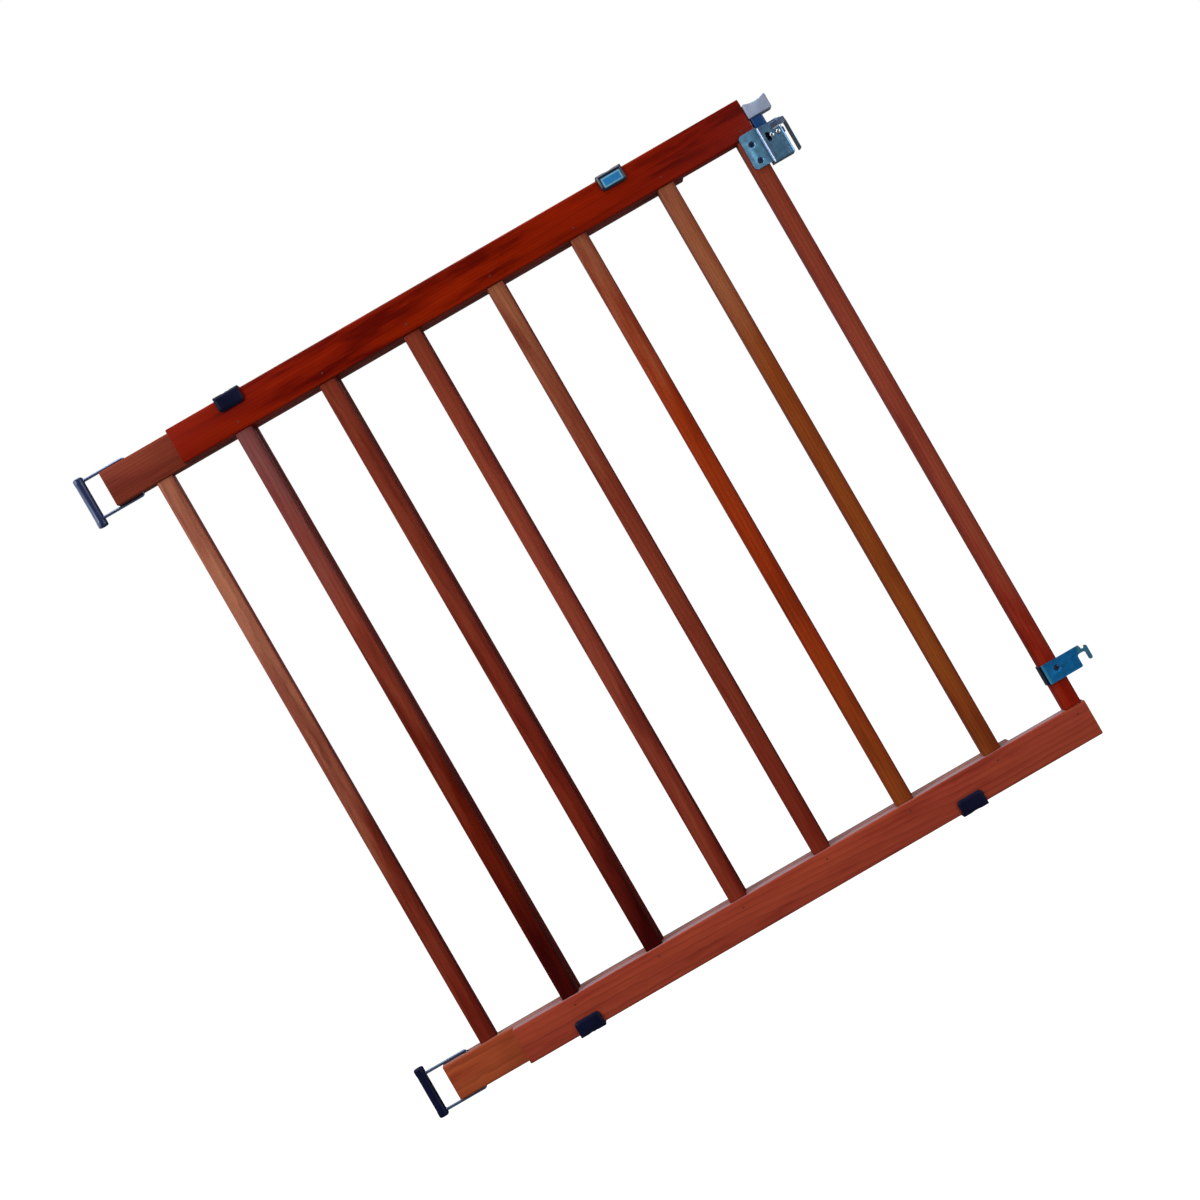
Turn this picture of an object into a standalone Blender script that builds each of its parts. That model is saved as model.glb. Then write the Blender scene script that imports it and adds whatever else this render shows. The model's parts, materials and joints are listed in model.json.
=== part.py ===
"""Sliding-width wooden swing gate with hinge bails and a lift latch.

Metres, +Z up, +X towards the latch side, front face towards -Y.
The origin is the middle of the gate's footprint at its lowest point.
"""
import math

import bmesh
import bpy
from mathutils import Vector

# Panels: two ladder frames that slide past each other along X
PANEL_LENGTH = 0.648
PANEL_HEIGHT = 0.718
RAIL_HEIGHT = 0.038
RAIL_DEPTH = 0.019
RAIL_EASE = 0.0018
REST_SHIFT = 0.081              # how far the front panel stands out past the rear one
FRONT_LEFT = -0.2876            # left end of the front rails
REAR_LEFT = FRONT_LEFT - REST_SHIFT
PANEL_GAP = 0.001               # between the two panels' facing sides
FRONT_Y = -(PANEL_GAP + RAIL_DEPTH) / 2
REAR_Y = -FRONT_Y
FRONT_FACE = FRONT_Y - RAIL_DEPTH / 2

# Uprights
BAR_WIDTH = 0.0185
BAR_DEPTH = 0.015
BAR_EASE = 0.0015
STILE_DEPTH = RAIL_DEPTH
STILE_X = 0.348
FRONT_BARS_X = (-0.2210, -0.1260, -0.0305, 0.0640, 0.1585, 0.2575)
REAR_BARS_X = (-0.3150, -0.2195, -0.1240, -0.0290, 0.0655, 0.1605, 0.2595)
TENON_WIDTH = 0.014
TENON_DEPTH = 0.009
TENON_LENGTH = 0.014
FIT = 0.0003                    # gap between pieces that touch

# Clips that hold the panels together
CLIP_LENGTH = 0.028
CLIP_WALL = 0.0026
CLIP_REACH = 0.014              # how far a cheek comes down over its rail
CLIP_CORNER = 0.004
CLIP_DIP = 0.0006
CLIP_EASE = 0.0006
CLIP_DIP_RADIUS = 0.026
CLIP_SLIP = 0.0006              # play between a cheek and a rail
LEFT_CLIP_X = -0.218            # on the front rails
RIGHT_CLIP_X = 0.215            # on the rear rails

# Wood screws
SHANK_RADIUS = 0.0015
PAN_RADIUS = 0.0033
PAN_HEIGHT = 0.002
CLIP_SCREW_LENGTH = 0.014
CSK_RADIUS = 0.0028
CSK_DEPTH = 0.0015
LATCH_SCREW_LENGTH = 0.013
LOCK_RADIUS = 0.0035
LOCK_HEAD = 0.0041
LOCK_SHANK = 0.002
LOCK_TIP = 0.0004                # chamfer at the shank's end

# Hinge bails: a wire loop round each end of the hinge-side rails
WIRE_RADIUS = 0.0016
WIRE_RISE = 0.0019              # wire centre above or below the rail's edge
WIRE_DEPTH = 0.009              # bent end's reach into the rail
WIRE_BEND = 0.0024
BAIL_PIVOT_X = REAR_LEFT + 0.0272
BAIL_REACH = 0.0502
BUSH_RADIUS = 0.0027
BUSH_BORE = 0.0021
BUSH_LENGTH = 0.010
BUSH_FLANGE_RADIUS = 0.0036
BUSH_FLANGE = 0.001
SLEEVE_RADIUS = 0.0054
SLEEVE_LENGTH = 0.0546
SLEEVE_BORE = 0.0019
SLEEVE_PROUD = 0.0066           # past the rail's outer edge
SLEEVE_CHAMFER = 0.0008

# Latch housing: bent sheet steel on the latch stile
SHEET = 0.0015
HOUSING_LEFT = 0.3608
HOUSING_RIGHT = 0.3842
HOUSING_TOP = 0.6826
HOUSING_BOTTOM = 0.6453
HOUSING_FRONT = -0.0245
HOUSING_BACK = -0.0080
FLANGE_LEFT = 0.3415
FLANGE_TOP = 0.6845
FLANGE_BOTTOM = 0.6473
FLANGE_CORNER = 0.004
FLANGE_SCREW_X = 0.3504
FLANGE_SCREWS_Z = (0.6718, 0.6542)
WINDOW_X = 0.3680
WINDOW_WIDTH = 0.0048
WINDOW_HEIGHT = 0.0100
HOOK_SHEET = 0.0018
HOOK_BEND = 0.0060
HOOK_RIGHT = 0.3914             # outer side of the latch's tine
HOOK_Y = (-0.0220, -0.0100)
TAB_HEIGHT = 0.006
TAB_DROP = 0.008                # tab's middle below the works
SLIVER = 0.0002                 # keeps two cuts or two solids from ending in one plane

# Latch works
WORKS_Z = 0.6698
RIVETS_X = (0.3719, 0.3788)
RIVET_RADIUS = 0.0012
RIVET_HEAD = 0.0025
RIVET_HEAD_HEIGHT = 0.0009
GUIDE_BACK = 0.0022
GUIDE_RIM = 0.0016              # above and below the bolt
GUIDE_LEFT = 0.3697
BOLT_THICKNESS = 0.0030
BOLT_TIP_X = 0.3862
BOLT_NOSE_HEIGHT = 0.0055
CAM_LEFT = 0.3661
CAM_RIGHT = 0.3760
CAM_HEIGHT = 0.0126
PLUNGER_LIFT = 0.005
BOLT_PER_LIFT = 0.7             # bolt travel for each unit of knob travel
ROD_X = 0.3685
ROD_Y = -0.0132
ROD_RADIUS = 0.0019
ROD_FOOT = 0.6480
SHELF_Z = (0.6560, 0.6575)       # back plate's shelf that steadies the rod
SHELF_HALF = 0.0045
SHELF_REACH = 0.0035            # past the rod's middle, towards the front
COLLAR_RADIUS = 0.0033
COLLAR_HEIGHT = 0.0012
COLLAR_GAP = 0.0006             # between the cross pin and the collar
ROD_TOP = 0.7040
PIN_RADIUS = 0.0010
PIN_Z = WORKS_Z - PLUNGER_LIFT / 2
SPRING_WIRE = 0.00035
SPRING_RADIUS = 0.0028
SPRING_TURNS = 6
SPRING_POINTS = 12              # points in one turn

# Lift knob
KNOB_LEFT = 0.3609
KNOB_RIGHT = 0.3866
KNOB_TOP = 0.7100
KNOB_FLOOR = 0.6948
KNOB_DEPTH = 0.017
KNOB_DIP = 0.0022
KNOB_LIP = 0.0025               # flat left at each side of the dip
KNOB_EASE = 0.0012
NECK_WIDTH = 0.0126
NECK_DEPTH = 0.012

# Lower hook bracket
HOOK_TOP = 0.0878
HOOK_FLOOR = 0.0671
HOOK_LEFT = 0.3369
HOOK_PLATE_RIGHT = 0.3759
HOOK_PLATE_CORNER = 0.0018
HOOK_NECK_X = 0.3814            # where the plate's top edge drops to the tine
HOOK_NECK_CORNER = 0.0012
HOOK_DIP = 0.0046
HOOK_DIP_RADIUS = 0.0018
HOOK_TINE_LEFT = 0.3845
HOOK_TINE_RIGHT = 0.3887
HOOK_TINE_FLOOR = 0.0697
HOOK_TINE_SHOULDER = 0.0021
HOOK_NOTCH_TOP = 0.0797
HOOK_NOTCH_BEND = 0.0022
HOOK_THICKNESS = 0.0020
HOOK_SCREW = (0.3523, 0.0789)
HOOK_FLANGE_BACK = -0.0050

# Extents that place the origin under the middle of the gate
LEFT_END = BAIL_PIVOT_X - BAIL_REACH - SLEEVE_RADIUS
BACK_END = REAR_Y + RAIL_DEPTH / 2 + CLIP_SLIP + CLIP_WALL
FRONT_END = HOUSING_FRONT - FIT - RIVET_HEAD_HEIGHT
LOWEST = -(FIT + CLIP_WALL + FIT + LOCK_HEAD - CLIP_DIP)
ORIGIN = Vector(((LEFT_END + HOOK_RIGHT) / 2, (FRONT_END + BACK_END) / 2, LOWEST))

# Colours, linear
CHERRY = (0.165, 0.022, 0.008)
CHERRY_RED = (0.155, 0.013, 0.004)
CHERRY_BROWN = (0.230, 0.050, 0.020)
ZINC = (0.110, 0.215, 0.300)
ZINC_BLUE = (0.030, 0.130, 0.300)
BRIGHT_STEEL = (0.620, 0.640, 0.660)
NAVY_PLASTIC = (0.012, 0.020, 0.050)
GREY_PLASTIC = (0.420, 0.420, 0.520)
DARK_SCREW = (0.020, 0.030, 0.070)


# ---------------------------------------------------------------- scene and bodies

def new_collection(name):
    collection = bpy.data.collections.new(name)
    bpy.context.scene.collection.children.link(collection)
    return collection


for old in list(bpy.data.objects):
    bpy.data.objects.remove(old, do_unlink=True)
parts = new_collection("baby_gate")
cutters = new_collection("cutters")
body_places = {}


def body(name, place, parent=None):
    """An empty on a moving body's joint axis; its children are placed in gate space."""
    empty = bpy.data.objects.new(name, None)
    empty.empty_display_size = 0.02
    parts.objects.link(empty)
    body_places[name] = Vector(place)
    start = ORIGIN
    if parent:
        empty.parent = parent
        start = body_places[parent.name]
    empty.location = Vector(place) - start
    return empty


def finish(name, colour, metallic=0.0, roughness=0.5):
    material = bpy.data.materials.new(name)
    material.use_nodes = True
    shader = material.node_tree.nodes["Principled BSDF"]
    shader.inputs["Base Color"].default_value = (*colour, 1.0)
    shader.inputs["Metallic"].default_value = metallic
    shader.inputs["Roughness"].default_value = roughness
    return material


def wood(name, colour):
    return finish(name + "_wood", colour, 0.0, 0.35)


def steel(name, colour=ZINC):
    return finish(name + "_steel", colour, 0.9, 0.32)


def plastic(name, colour=NAVY_PLASTIC):
    return finish(name + "_plastic", colour, 0.0, 0.4)


# ---------------------------------------------------------------- shape helpers

def add_object(name, data, place, owner, material):
    """Link an object whose local zero is at `place` in gate space."""
    piece = bpy.data.objects.new(name, data)
    parts.objects.link(piece)
    piece.parent = owner
    piece.location = Vector(place) - body_places[owner.name]
    if material:
        data.materials.append(material)
    return piece


def make_cutter(piece):
    """Move a helper shape to the cutters and hide it."""
    parts.objects.unlink(piece)
    cutters.objects.link(piece)
    piece.hide_render = True
    piece.display_type = "WIRE"
    return piece


def boolean(piece, tool, operation):
    step = piece.modifiers.new(tool.name, "BOOLEAN")
    step.operation = operation
    step.object = tool
    step.solver = "EXACT"


def cut(piece, tool):
    boolean(piece, make_cutter(tool), "DIFFERENCE")


def join(piece, tool):
    boolean(piece, make_cutter(tool), "UNION")


def box(name, low, high, owner, material=None, ease=0.0, segments=2):
    """A box between two corners in gate space, with eased edges if asked."""
    low, high = Vector(low), Vector(high)
    shape = bmesh.new()
    bmesh.ops.create_cube(shape, size=1.0)
    bmesh.ops.scale(shape, vec=high - low, verts=shape.verts)
    mesh = bpy.data.meshes.new(name)
    shape.to_mesh(mesh)
    shape.free()
    piece = add_object(name, mesh, (low + high) / 2, owner, material)
    if ease:
        bevel = piece.modifiers.new("ease", "BEVEL")
        bevel.width = ease
        bevel.segments = segments
    return piece


def round_bar(name, place, radius, length, owner, material=None, turn=(0, 0, 0), sides=20):
    """A cylinder whose middle is at `place`, along its own Z."""
    shape = bmesh.new()
    bmesh.ops.create_cone(shape, cap_ends=True, segments=sides, radius1=radius,
                          radius2=radius, depth=length)
    mesh = bpy.data.meshes.new(name)
    shape.to_mesh(mesh)
    shape.free()
    mesh.shade_smooth()
    mesh.set_sharp_from_angle(angle=math.radians(35))
    piece = add_object(name, mesh, place, owner, material)
    piece.rotation_euler = turn
    return piece


def turned(name, profile, place, owner, material=None, turn=(0, 0, 0), steps=16):
    """Spin a profile of (radius, height) points, listed from top to bottom."""
    mesh = bpy.data.meshes.new(name)
    points = [(radius, 0, height) for radius, height in profile]
    edges = [(at, at + 1) for at in range(len(points) - 1)]
    mesh.from_pydata(points, edges, [])
    piece = add_object(name, mesh, place, owner, material)
    piece.rotation_euler = turn
    screw = piece.modifiers.new("spin", "SCREW")
    screw.steps = steps
    screw.render_steps = steps
    screw.use_merge_vertices = True
    screw.merge_threshold = 0.00001
    screw.use_smooth_shade = False
    return piece


def curve_data(name, points, closed, dimensions):
    data = bpy.data.curves.new(name, "CURVE")
    data.dimensions = dimensions
    spline = data.splines.new("POLY")
    spline.points.add(len(points) - 1)
    for spot, point in zip(spline.points, points):
        spot.co = (*point, 1.0)
    spline.use_cyclic_u = closed
    return data


def wire(name, points, radius, place, owner, material):
    """A round wire along points given from `place`."""
    data = curve_data(name, points, False, "3D")
    data.bevel_depth = radius
    data.bevel_resolution = 2
    data.use_fill_caps = True
    return add_object(name, data, place, owner, material)


def plate(name, outline, front, thickness, owner, material=None):
    """A flat outline of (x, z) points in gate space, from Y = front backwards."""
    data = curve_data(name, [(x, z, 0) for x, z in outline], True, "2D")
    data.fill_mode = "BOTH"
    data.extrude = thickness / 2
    source = add_object(name + "_outline", data, (0, front + thickness / 2, 0), owner, None)
    source.rotation_euler = (math.radians(90), 0, 0)
    bpy.context.view_layer.update()
    graph = bpy.context.evaluated_depsgraph_get()
    mesh = bpy.data.meshes.new_from_object(source.evaluated_get(graph))
    shape = bmesh.new()
    shape.from_mesh(mesh)
    bmesh.ops.remove_doubles(shape, verts=shape.verts, dist=0.00001)
    shape.to_mesh(mesh)
    shape.free()
    piece = bpy.data.objects.new(name, mesh)
    parts.objects.link(piece)
    piece.parent = owner
    piece.matrix_world = source.matrix_world.copy()
    bpy.data.objects.remove(source)
    if material:
        mesh.materials.append(material)
    return piece


def arc(centre, radius, start, end, steps):
    """Points of an arc in a plane; angles in degrees."""
    points = []
    for at in range(steps + 1):
        angle = math.radians(start + (end - start) * at / steps)
        points.append((centre[0] + radius * math.cos(angle), centre[1] + radius * math.sin(angle)))
    return points


def rounded_path(corners, radius, steps=4):
    """A 3D polyline whose inner corners are arcs of the given radius."""
    points = [Vector(corners[0])]
    for before, corner, after in zip(corners, corners[1:], corners[2:]):
        before, corner, after = Vector(before), Vector(corner), Vector(after)
        toward = (before - corner).normalized()
        away = (after - corner).normalized()
        centre = corner + (toward + away) * radius
        for at in range(steps + 1):
            angle = math.radians(90 * at / steps)
            points.append(centre - away * radius * math.cos(angle) - toward * radius * math.sin(angle))
    points.append(Vector(corners[-1]))
    return points


# ---------------------------------------------------------------- bodies

rear_panel = body("rear_panel_body", (0, 0, 0))
front_panel = body("front_panel_body", (FRONT_LEFT, 0, 0), rear_panel)
upper_bail = body("upper_bail_body", (BAIL_PIVOT_X, REAR_Y, PANEL_HEIGHT - RAIL_HEIGHT / 2), rear_panel)
lower_bail = body("lower_bail_body", (BAIL_PIVOT_X, REAR_Y, RAIL_HEIGHT / 2), rear_panel)
plunger = body("plunger_body", (ROD_X, ROD_Y, WORKS_Z), front_panel)
bolt_body = body("bolt_body", (RIVETS_X[0], ROD_Y, WORKS_Z), front_panel)


# ---------------------------------------------------------------- wooden panels

def pan_screw_hole(name, place, owner):
    return round_bar(name, place, SHANK_RADIUS + FIT, 2 * CLIP_SCREW_LENGTH, owner, sides=12)


def rail(name, left, middle_y, is_top, bar_places, owner, colour):
    """One rail with a mortise for each of its uprights."""
    low_z = PANEL_HEIGHT - RAIL_HEIGHT if is_top else 0.0
    low = (left, middle_y - RAIL_DEPTH / 2, low_z)
    high = (left + PANEL_LENGTH, middle_y + RAIL_DEPTH / 2, low_z + RAIL_HEIGHT)
    piece = box(name, low, high, owner, wood(name, colour), RAIL_EASE)
    inner = low_z if is_top else low_z + RAIL_HEIGHT
    depth = TENON_LENGTH + FIT
    for at, x in enumerate(bar_places):
        half = Vector((TENON_WIDTH / 2 + FIT, TENON_DEPTH / 2 + FIT, depth))
        middle = Vector((x, middle_y, inner))
        cut(piece, box(f"{name}_mortise_{at + 1}", middle - half, middle + half, owner))
    return piece


def upright(name, x, middle_y, depth, owner, colour):
    """A bar between the two rails, with a tenon at each end."""
    low_z = RAIL_HEIGHT + FIT
    high_z = PANEL_HEIGHT - RAIL_HEIGHT - FIT
    piece = box(name, (x - BAR_WIDTH / 2, middle_y - depth / 2, low_z),
                (x + BAR_WIDTH / 2, middle_y + depth / 2, high_z), owner, wood(name, colour), BAR_EASE)
    join(piece, box(name + "_tenon",
                    (x - TENON_WIDTH / 2, middle_y - TENON_DEPTH / 2, low_z - TENON_LENGTH),
                    (x + TENON_WIDTH / 2, middle_y + TENON_DEPTH / 2, high_z + TENON_LENGTH), owner))
    return piece


front_places = (*FRONT_BARS_X, STILE_X)
rails = {
    "front_top": rail("front_top_rail", FRONT_LEFT, FRONT_Y, True, front_places, front_panel, CHERRY_RED),
    "front_bottom": rail("front_bottom_rail", FRONT_LEFT, FRONT_Y, False, front_places, front_panel, CHERRY),
    "rear_top": rail("rear_top_rail", REAR_LEFT, REAR_Y, True, REAR_BARS_X, rear_panel, CHERRY_BROWN),
    "rear_bottom": rail("rear_bottom_rail", REAR_LEFT, REAR_Y, False, REAR_BARS_X, rear_panel, CHERRY_BROWN),
}
for at, x in enumerate(FRONT_BARS_X):
    upright(f"front_bar_{at + 1}", x, FRONT_Y, BAR_DEPTH, front_panel, CHERRY)
for at, x in enumerate(REAR_BARS_X):
    upright(f"rear_bar_{at + 1}", x, REAR_Y, BAR_DEPTH, rear_panel, CHERRY)
stile = upright("latch_stile", STILE_X, FRONT_Y, STILE_DEPTH, front_panel, CHERRY)


# ---------------------------------------------------------------- clips and their screws

def pan_screw(name, place, owner, turn):
    """A round-headed wood screw; `place` is under its head."""
    profile = [(0, PAN_HEIGHT), (PAN_RADIUS * 0.6, PAN_HEIGHT * 0.9), (PAN_RADIUS * 0.9, PAN_HEIGHT * 0.5),
               (PAN_RADIUS, 0), (SHANK_RADIUS, 0), (SHANK_RADIUS, -CLIP_SCREW_LENGTH + SHANK_RADIUS * 2),
               (0, -CLIP_SCREW_LENGTH)]
    return turned(name, profile, place, owner, steel(name, DARK_SCREW), turn)


def clip(name, x, is_top, owner, screw_y, host):
    """A moulded saddle over both rails' edges, screwed to one of them."""
    up = 1 if is_top else -1
    edge = PANEL_HEIGHT if is_top else 0.0
    half_y = BACK_END
    outer = edge + up * (FIT + CLIP_WALL)
    inner = edge - up * CLIP_REACH
    shape = bmesh.new()
    bmesh.ops.create_cube(shape, size=1.0)
    bmesh.ops.scale(shape, vec=(CLIP_LENGTH, 2 * half_y, abs(outer - inner)), verts=shape.verts)
    corners = [side for side in shape.edges
               if all(vert.co.z * up < 0 for vert in side.verts)
               and abs(side.verts[0].co.y - side.verts[1].co.y) > half_y]
    bmesh.ops.bevel(shape, geom=corners, offset=CLIP_CORNER, segments=4, profile=0.5, affect="EDGES")
    mesh = bpy.data.meshes.new(name)
    shape.to_mesh(mesh)
    shape.free()
    piece = add_object(name, mesh, (x, 0, (outer + inner) / 2), owner, plastic(name))
    bevel = piece.modifiers.new("ease", "BEVEL")
    bevel.width = CLIP_EASE
    bevel.segments = 1
    channel = half_y - CLIP_WALL
    roof = edge + up * FIT
    beyond = inner - up * CLIP_REACH
    cut(piece, box(name + "_channel", (x - CLIP_LENGTH, -channel, min(roof, beyond)),
                   (x + CLIP_LENGTH, channel, max(roof, beyond)), owner))
    cut(piece, round_bar(name + "_dip", (x, 0, outer + up * (CLIP_DIP_RADIUS - CLIP_DIP)), CLIP_DIP_RADIUS,
                         3 * half_y, owner, turn=(math.radians(90), 0, 0), sides=64))
    cut(piece, pan_screw_hole(name + "_hole", (x, screw_y, edge), owner))
    cut(rails[host], pan_screw_hole(name + "_pilot", (x, screw_y, edge), owner))
    turn = (0, 0, 0) if is_top else (math.radians(180), 0, 0)
    seat = outer - up * CLIP_DIP + up * FIT
    pan_screw(name + "_screw", (x, screw_y, seat), owner, turn)
    return piece


clip("top_left_clip", LEFT_CLIP_X, True, front_panel, FRONT_Y, "front_top")
lock_clip = clip("bottom_left_clip", LEFT_CLIP_X, False, front_panel, FRONT_Y, "front_bottom")
clip("top_right_clip", RIGHT_CLIP_X, True, rear_panel, REAR_Y, "rear_top")
clip("bottom_right_clip", RIGHT_CLIP_X, False, rear_panel, REAR_Y, "rear_bottom")

# The width lock screw comes up through the lower left clip, under the rear rail
lock_seat = -(FIT + CLIP_WALL - CLIP_DIP + FIT)
lock_reach = -lock_seat - FIT
cut(lock_clip, round_bar("width_lock_hole", (LEFT_CLIP_X, REAR_Y, 0), LOCK_SHANK + FIT, CLIP_REACH,
                         front_panel,
                         sides=16))
turned("width_lock_screw",
       [(0, LOCK_HEAD), (LOCK_RADIUS * 0.8, LOCK_HEAD), (LOCK_RADIUS, LOCK_HEAD * 0.85), (LOCK_RADIUS, 0),
        (LOCK_SHANK, 0), (LOCK_SHANK, -lock_reach + LOCK_TIP), (LOCK_SHANK - LOCK_TIP, -lock_reach),
        (0, -lock_reach)],
       (LEFT_CLIP_X, REAR_Y, lock_seat), front_panel, steel("width_lock_screw"), (math.radians(180), 0, 0))


# ---------------------------------------------------------------- hinge bails

def bush(name, edge, up, host):
    """A flanged bush let into a rail's edge, in which the bail's end turns."""
    turn = (0, 0, 0) if up > 0 else (math.radians(180), 0, 0)
    place = (BAIL_PIVOT_X, REAR_Y, edge)
    profile = [(BUSH_BORE, 0), (BUSH_FLANGE_RADIUS, 0), (BUSH_FLANGE_RADIUS, -BUSH_FLANGE),
               (BUSH_RADIUS, -BUSH_FLANGE), (BUSH_RADIUS, -BUSH_LENGTH), (BUSH_BORE, -BUSH_LENGTH),
               (BUSH_BORE, 0)]
    turned(name, profile, place, rear_panel, plastic(name), turn)
    above = BUSH_FLANGE
    seat = [(0, above), (BUSH_FLANGE_RADIUS + FIT, above), (BUSH_FLANGE_RADIUS + FIT, -BUSH_FLANGE - FIT),
            (BUSH_RADIUS + FIT, -BUSH_FLANGE - FIT), (BUSH_RADIUS + FIT, -BUSH_LENGTH - FIT),
            (0, -BUSH_LENGTH - FIT)]
    cut(rails[host], turned(name + "_seat", seat, place, rear_panel, None, turn))


def bail(side, owner, rail_low, outer_up, host):
    """The wire loop and plastic sleeve at one end of a hinge-side rail."""
    half = RAIL_HEIGHT / 2
    middle = rail_low + half
    high = half + WIRE_RISE
    corners = [(0, 0, half - WIRE_DEPTH), (0, 0, high), (-BAIL_REACH, 0, high), (-BAIL_REACH, 0, -high),
               (0, 0, -high), (0, 0, -half + WIRE_DEPTH)]
    wire(f"{side}_bail_wire", rounded_path(corners, WIRE_BEND), WIRE_RADIUS,
         (BAIL_PIVOT_X, REAR_Y, middle), owner, steel(f"{side}_bail_wire"))
    bush(f"{side}_bail_bush_top", rail_low + RAIL_HEIGHT, 1, host)
    bush(f"{side}_bail_bush_bottom", rail_low, -1, host)
    outer = middle + outer_up * (half + SLEEVE_PROUD)
    centre = Vector((BAIL_PIVOT_X - BAIL_REACH, REAR_Y, outer - outer_up * SLEEVE_LENGTH / 2))
    name = f"{side}_hinge_sleeve"
    sleeve = round_bar(name, centre, SLEEVE_RADIUS, SLEEVE_LENGTH, owner, plastic(name), sides=32)
    ease = sleeve.modifiers.new("ease", "BEVEL")
    ease.width = SLEEVE_CHAMFER
    ease.segments = 2
    cut(sleeve, round_bar(name + "_bore", centre, SLEEVE_BORE, 2 * SLEEVE_LENGTH, owner, sides=20))
    slot = Vector((SLEEVE_RADIUS, SLEEVE_BORE, SLEEVE_LENGTH))
    cut(sleeve, box(name + "_slot", centre - Vector((0, SLEEVE_BORE, SLEEVE_LENGTH)),
                    centre + slot + Vector((FIT, 0, 0)), owner))


bail("upper", upper_bail, PANEL_HEIGHT - RAIL_HEIGHT, 1, "rear_top")
bail("lower", lower_bail, 0.0, -1, "rear_bottom")


# ---------------------------------------------------------------- latch housing

def front_screw(name, x, front, z, host_cuts):
    """A countersunk wood screw driven from the front; `front` is its head's Y."""
    turn = (math.radians(90), 0, 0)
    profile = [(0, 0), (CSK_RADIUS, 0), (SHANK_RADIUS, -CSK_DEPTH),
               (SHANK_RADIUS, -LATCH_SCREW_LENGTH + SHANK_RADIUS * 2), (0, -LATCH_SCREW_LENGTH)]
    turned(name, profile, (x, front, z), front_panel, steel(name, DARK_SCREW), turn)
    wide = CSK_RADIUS + 2 * FIT
    hole = [(0, SHEET), (wide, SHEET), (wide, 0), (SHANK_RADIUS + FIT, -CSK_DEPTH - FIT),
            (SHANK_RADIUS + FIT, -LATCH_SCREW_LENGTH - FIT), (0, -LATCH_SCREW_LENGTH - FIT)]
    for at, host in enumerate(host_cuts):
        cut(host, turned(f"{name}_hole_{at + 1}", hole, (x, front, z), front_panel, None, turn))


def rounded_corners_left(left, right, low, high, radius):
    """A rectangle outline with its two left corners rounded."""
    points = [(right, low), (right, high)]
    points += arc((left + radius, high - radius), radius, 90, 180, 5)
    points += arc((left + radius, low + radius), radius, 180, 270, 5)
    return points


flange_front = FRONT_FACE - FIT - SHEET
housing = plate("latch_housing",
                rounded_corners_left(FLANGE_LEFT, HOUSING_LEFT + SHEET / 2, FLANGE_BOTTOM, FLANGE_TOP,
                                     FLANGE_CORNER),
                flange_front, SHEET, front_panel, steel("latch_housing"))
shell = box("housing_shell", (HOUSING_LEFT, HOUSING_FRONT, HOUSING_BOTTOM),
            (HOUSING_RIGHT, HOUSING_BACK, HOUSING_TOP), front_panel)
cut(shell, box("housing_hollow", (HOUSING_LEFT + SHEET, HOUSING_FRONT + SHEET, HOUSING_BOTTOM + SHEET),
               (HOUSING_RIGHT - SHEET, HOUSING_BACK + SHEET, HOUSING_TOP - SHEET), front_panel))
join(housing, shell)

# The top sheet runs on past the box, curls over and comes down as the tine
curl_centre = (HOOK_RIGHT - HOOK_BEND, HOUSING_TOP - HOOK_BEND - SHEET / 4)
inner_bend = HOOK_BEND - HOOK_SHEET
tine = [(HOUSING_RIGHT - SHEET / 2, curl_centre[1] + HOOK_BEND)]
tine += arc(curl_centre, HOOK_BEND, 90, 0, 7)
tine += [(HOOK_RIGHT, HOUSING_BOTTOM), (HOOK_RIGHT - HOOK_SHEET, HOUSING_BOTTOM)]
tine += arc(curl_centre, inner_bend, 0, 90, 7)
tine += [(HOUSING_RIGHT - SHEET / 2, curl_centre[1] + inner_bend)]
join(housing, plate("housing_tine", tine, HOOK_Y[0], HOOK_Y[1] - HOOK_Y[0], front_panel))

wall_front = HOUSING_FRONT + SHEET
guide_plate_back = wall_front + FIT + GUIDE_BACK
bolt_front = guide_plate_back + FIT
bolt_back = bolt_front + BOLT_THICKNESS
cut(housing, box("bolt_hole",
                 (HOUSING_RIGHT - 2 * SHEET, bolt_front - FIT, WORKS_Z - BOLT_NOSE_HEIGHT / 2 - FIT),
                 (HOUSING_RIGHT + SHEET, bolt_back + FIT, WORKS_Z + BOLT_NOSE_HEIGHT / 2 + FIT), front_panel))
cut(housing, round_bar("rod_hole", (ROD_X, ROD_Y, HOUSING_TOP), ROD_RADIUS + FIT, 4 * SHEET, front_panel))
window = arc((WINDOW_X, WORKS_Z + (WINDOW_HEIGHT - WINDOW_WIDTH) / 2), WINDOW_WIDTH / 2, 0, 180, 8)
window += arc((WINDOW_X, WORKS_Z - (WINDOW_HEIGHT - WINDOW_WIDTH) / 2), WINDOW_WIDTH / 2, 180, 360, 8)
cut(housing, plate("housing_window", window, HOUSING_FRONT - SHEET, 3 * SHEET - SLIVER, front_panel))
for at, x in enumerate(RIVETS_X):
    cut(housing, round_bar(f"rivet_hole_{at + 1}", (x, HOUSING_FRONT, WORKS_Z), RIVET_RADIUS + FIT,
                           4 * SHEET, front_panel, turn=(math.radians(90), 0, 0), sides=12))
for at, z in enumerate(FLANGE_SCREWS_Z):
    front_screw(f"latch_screw_{at + 1}", FLANGE_SCREW_X, flange_front, z, (housing, stile))

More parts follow.
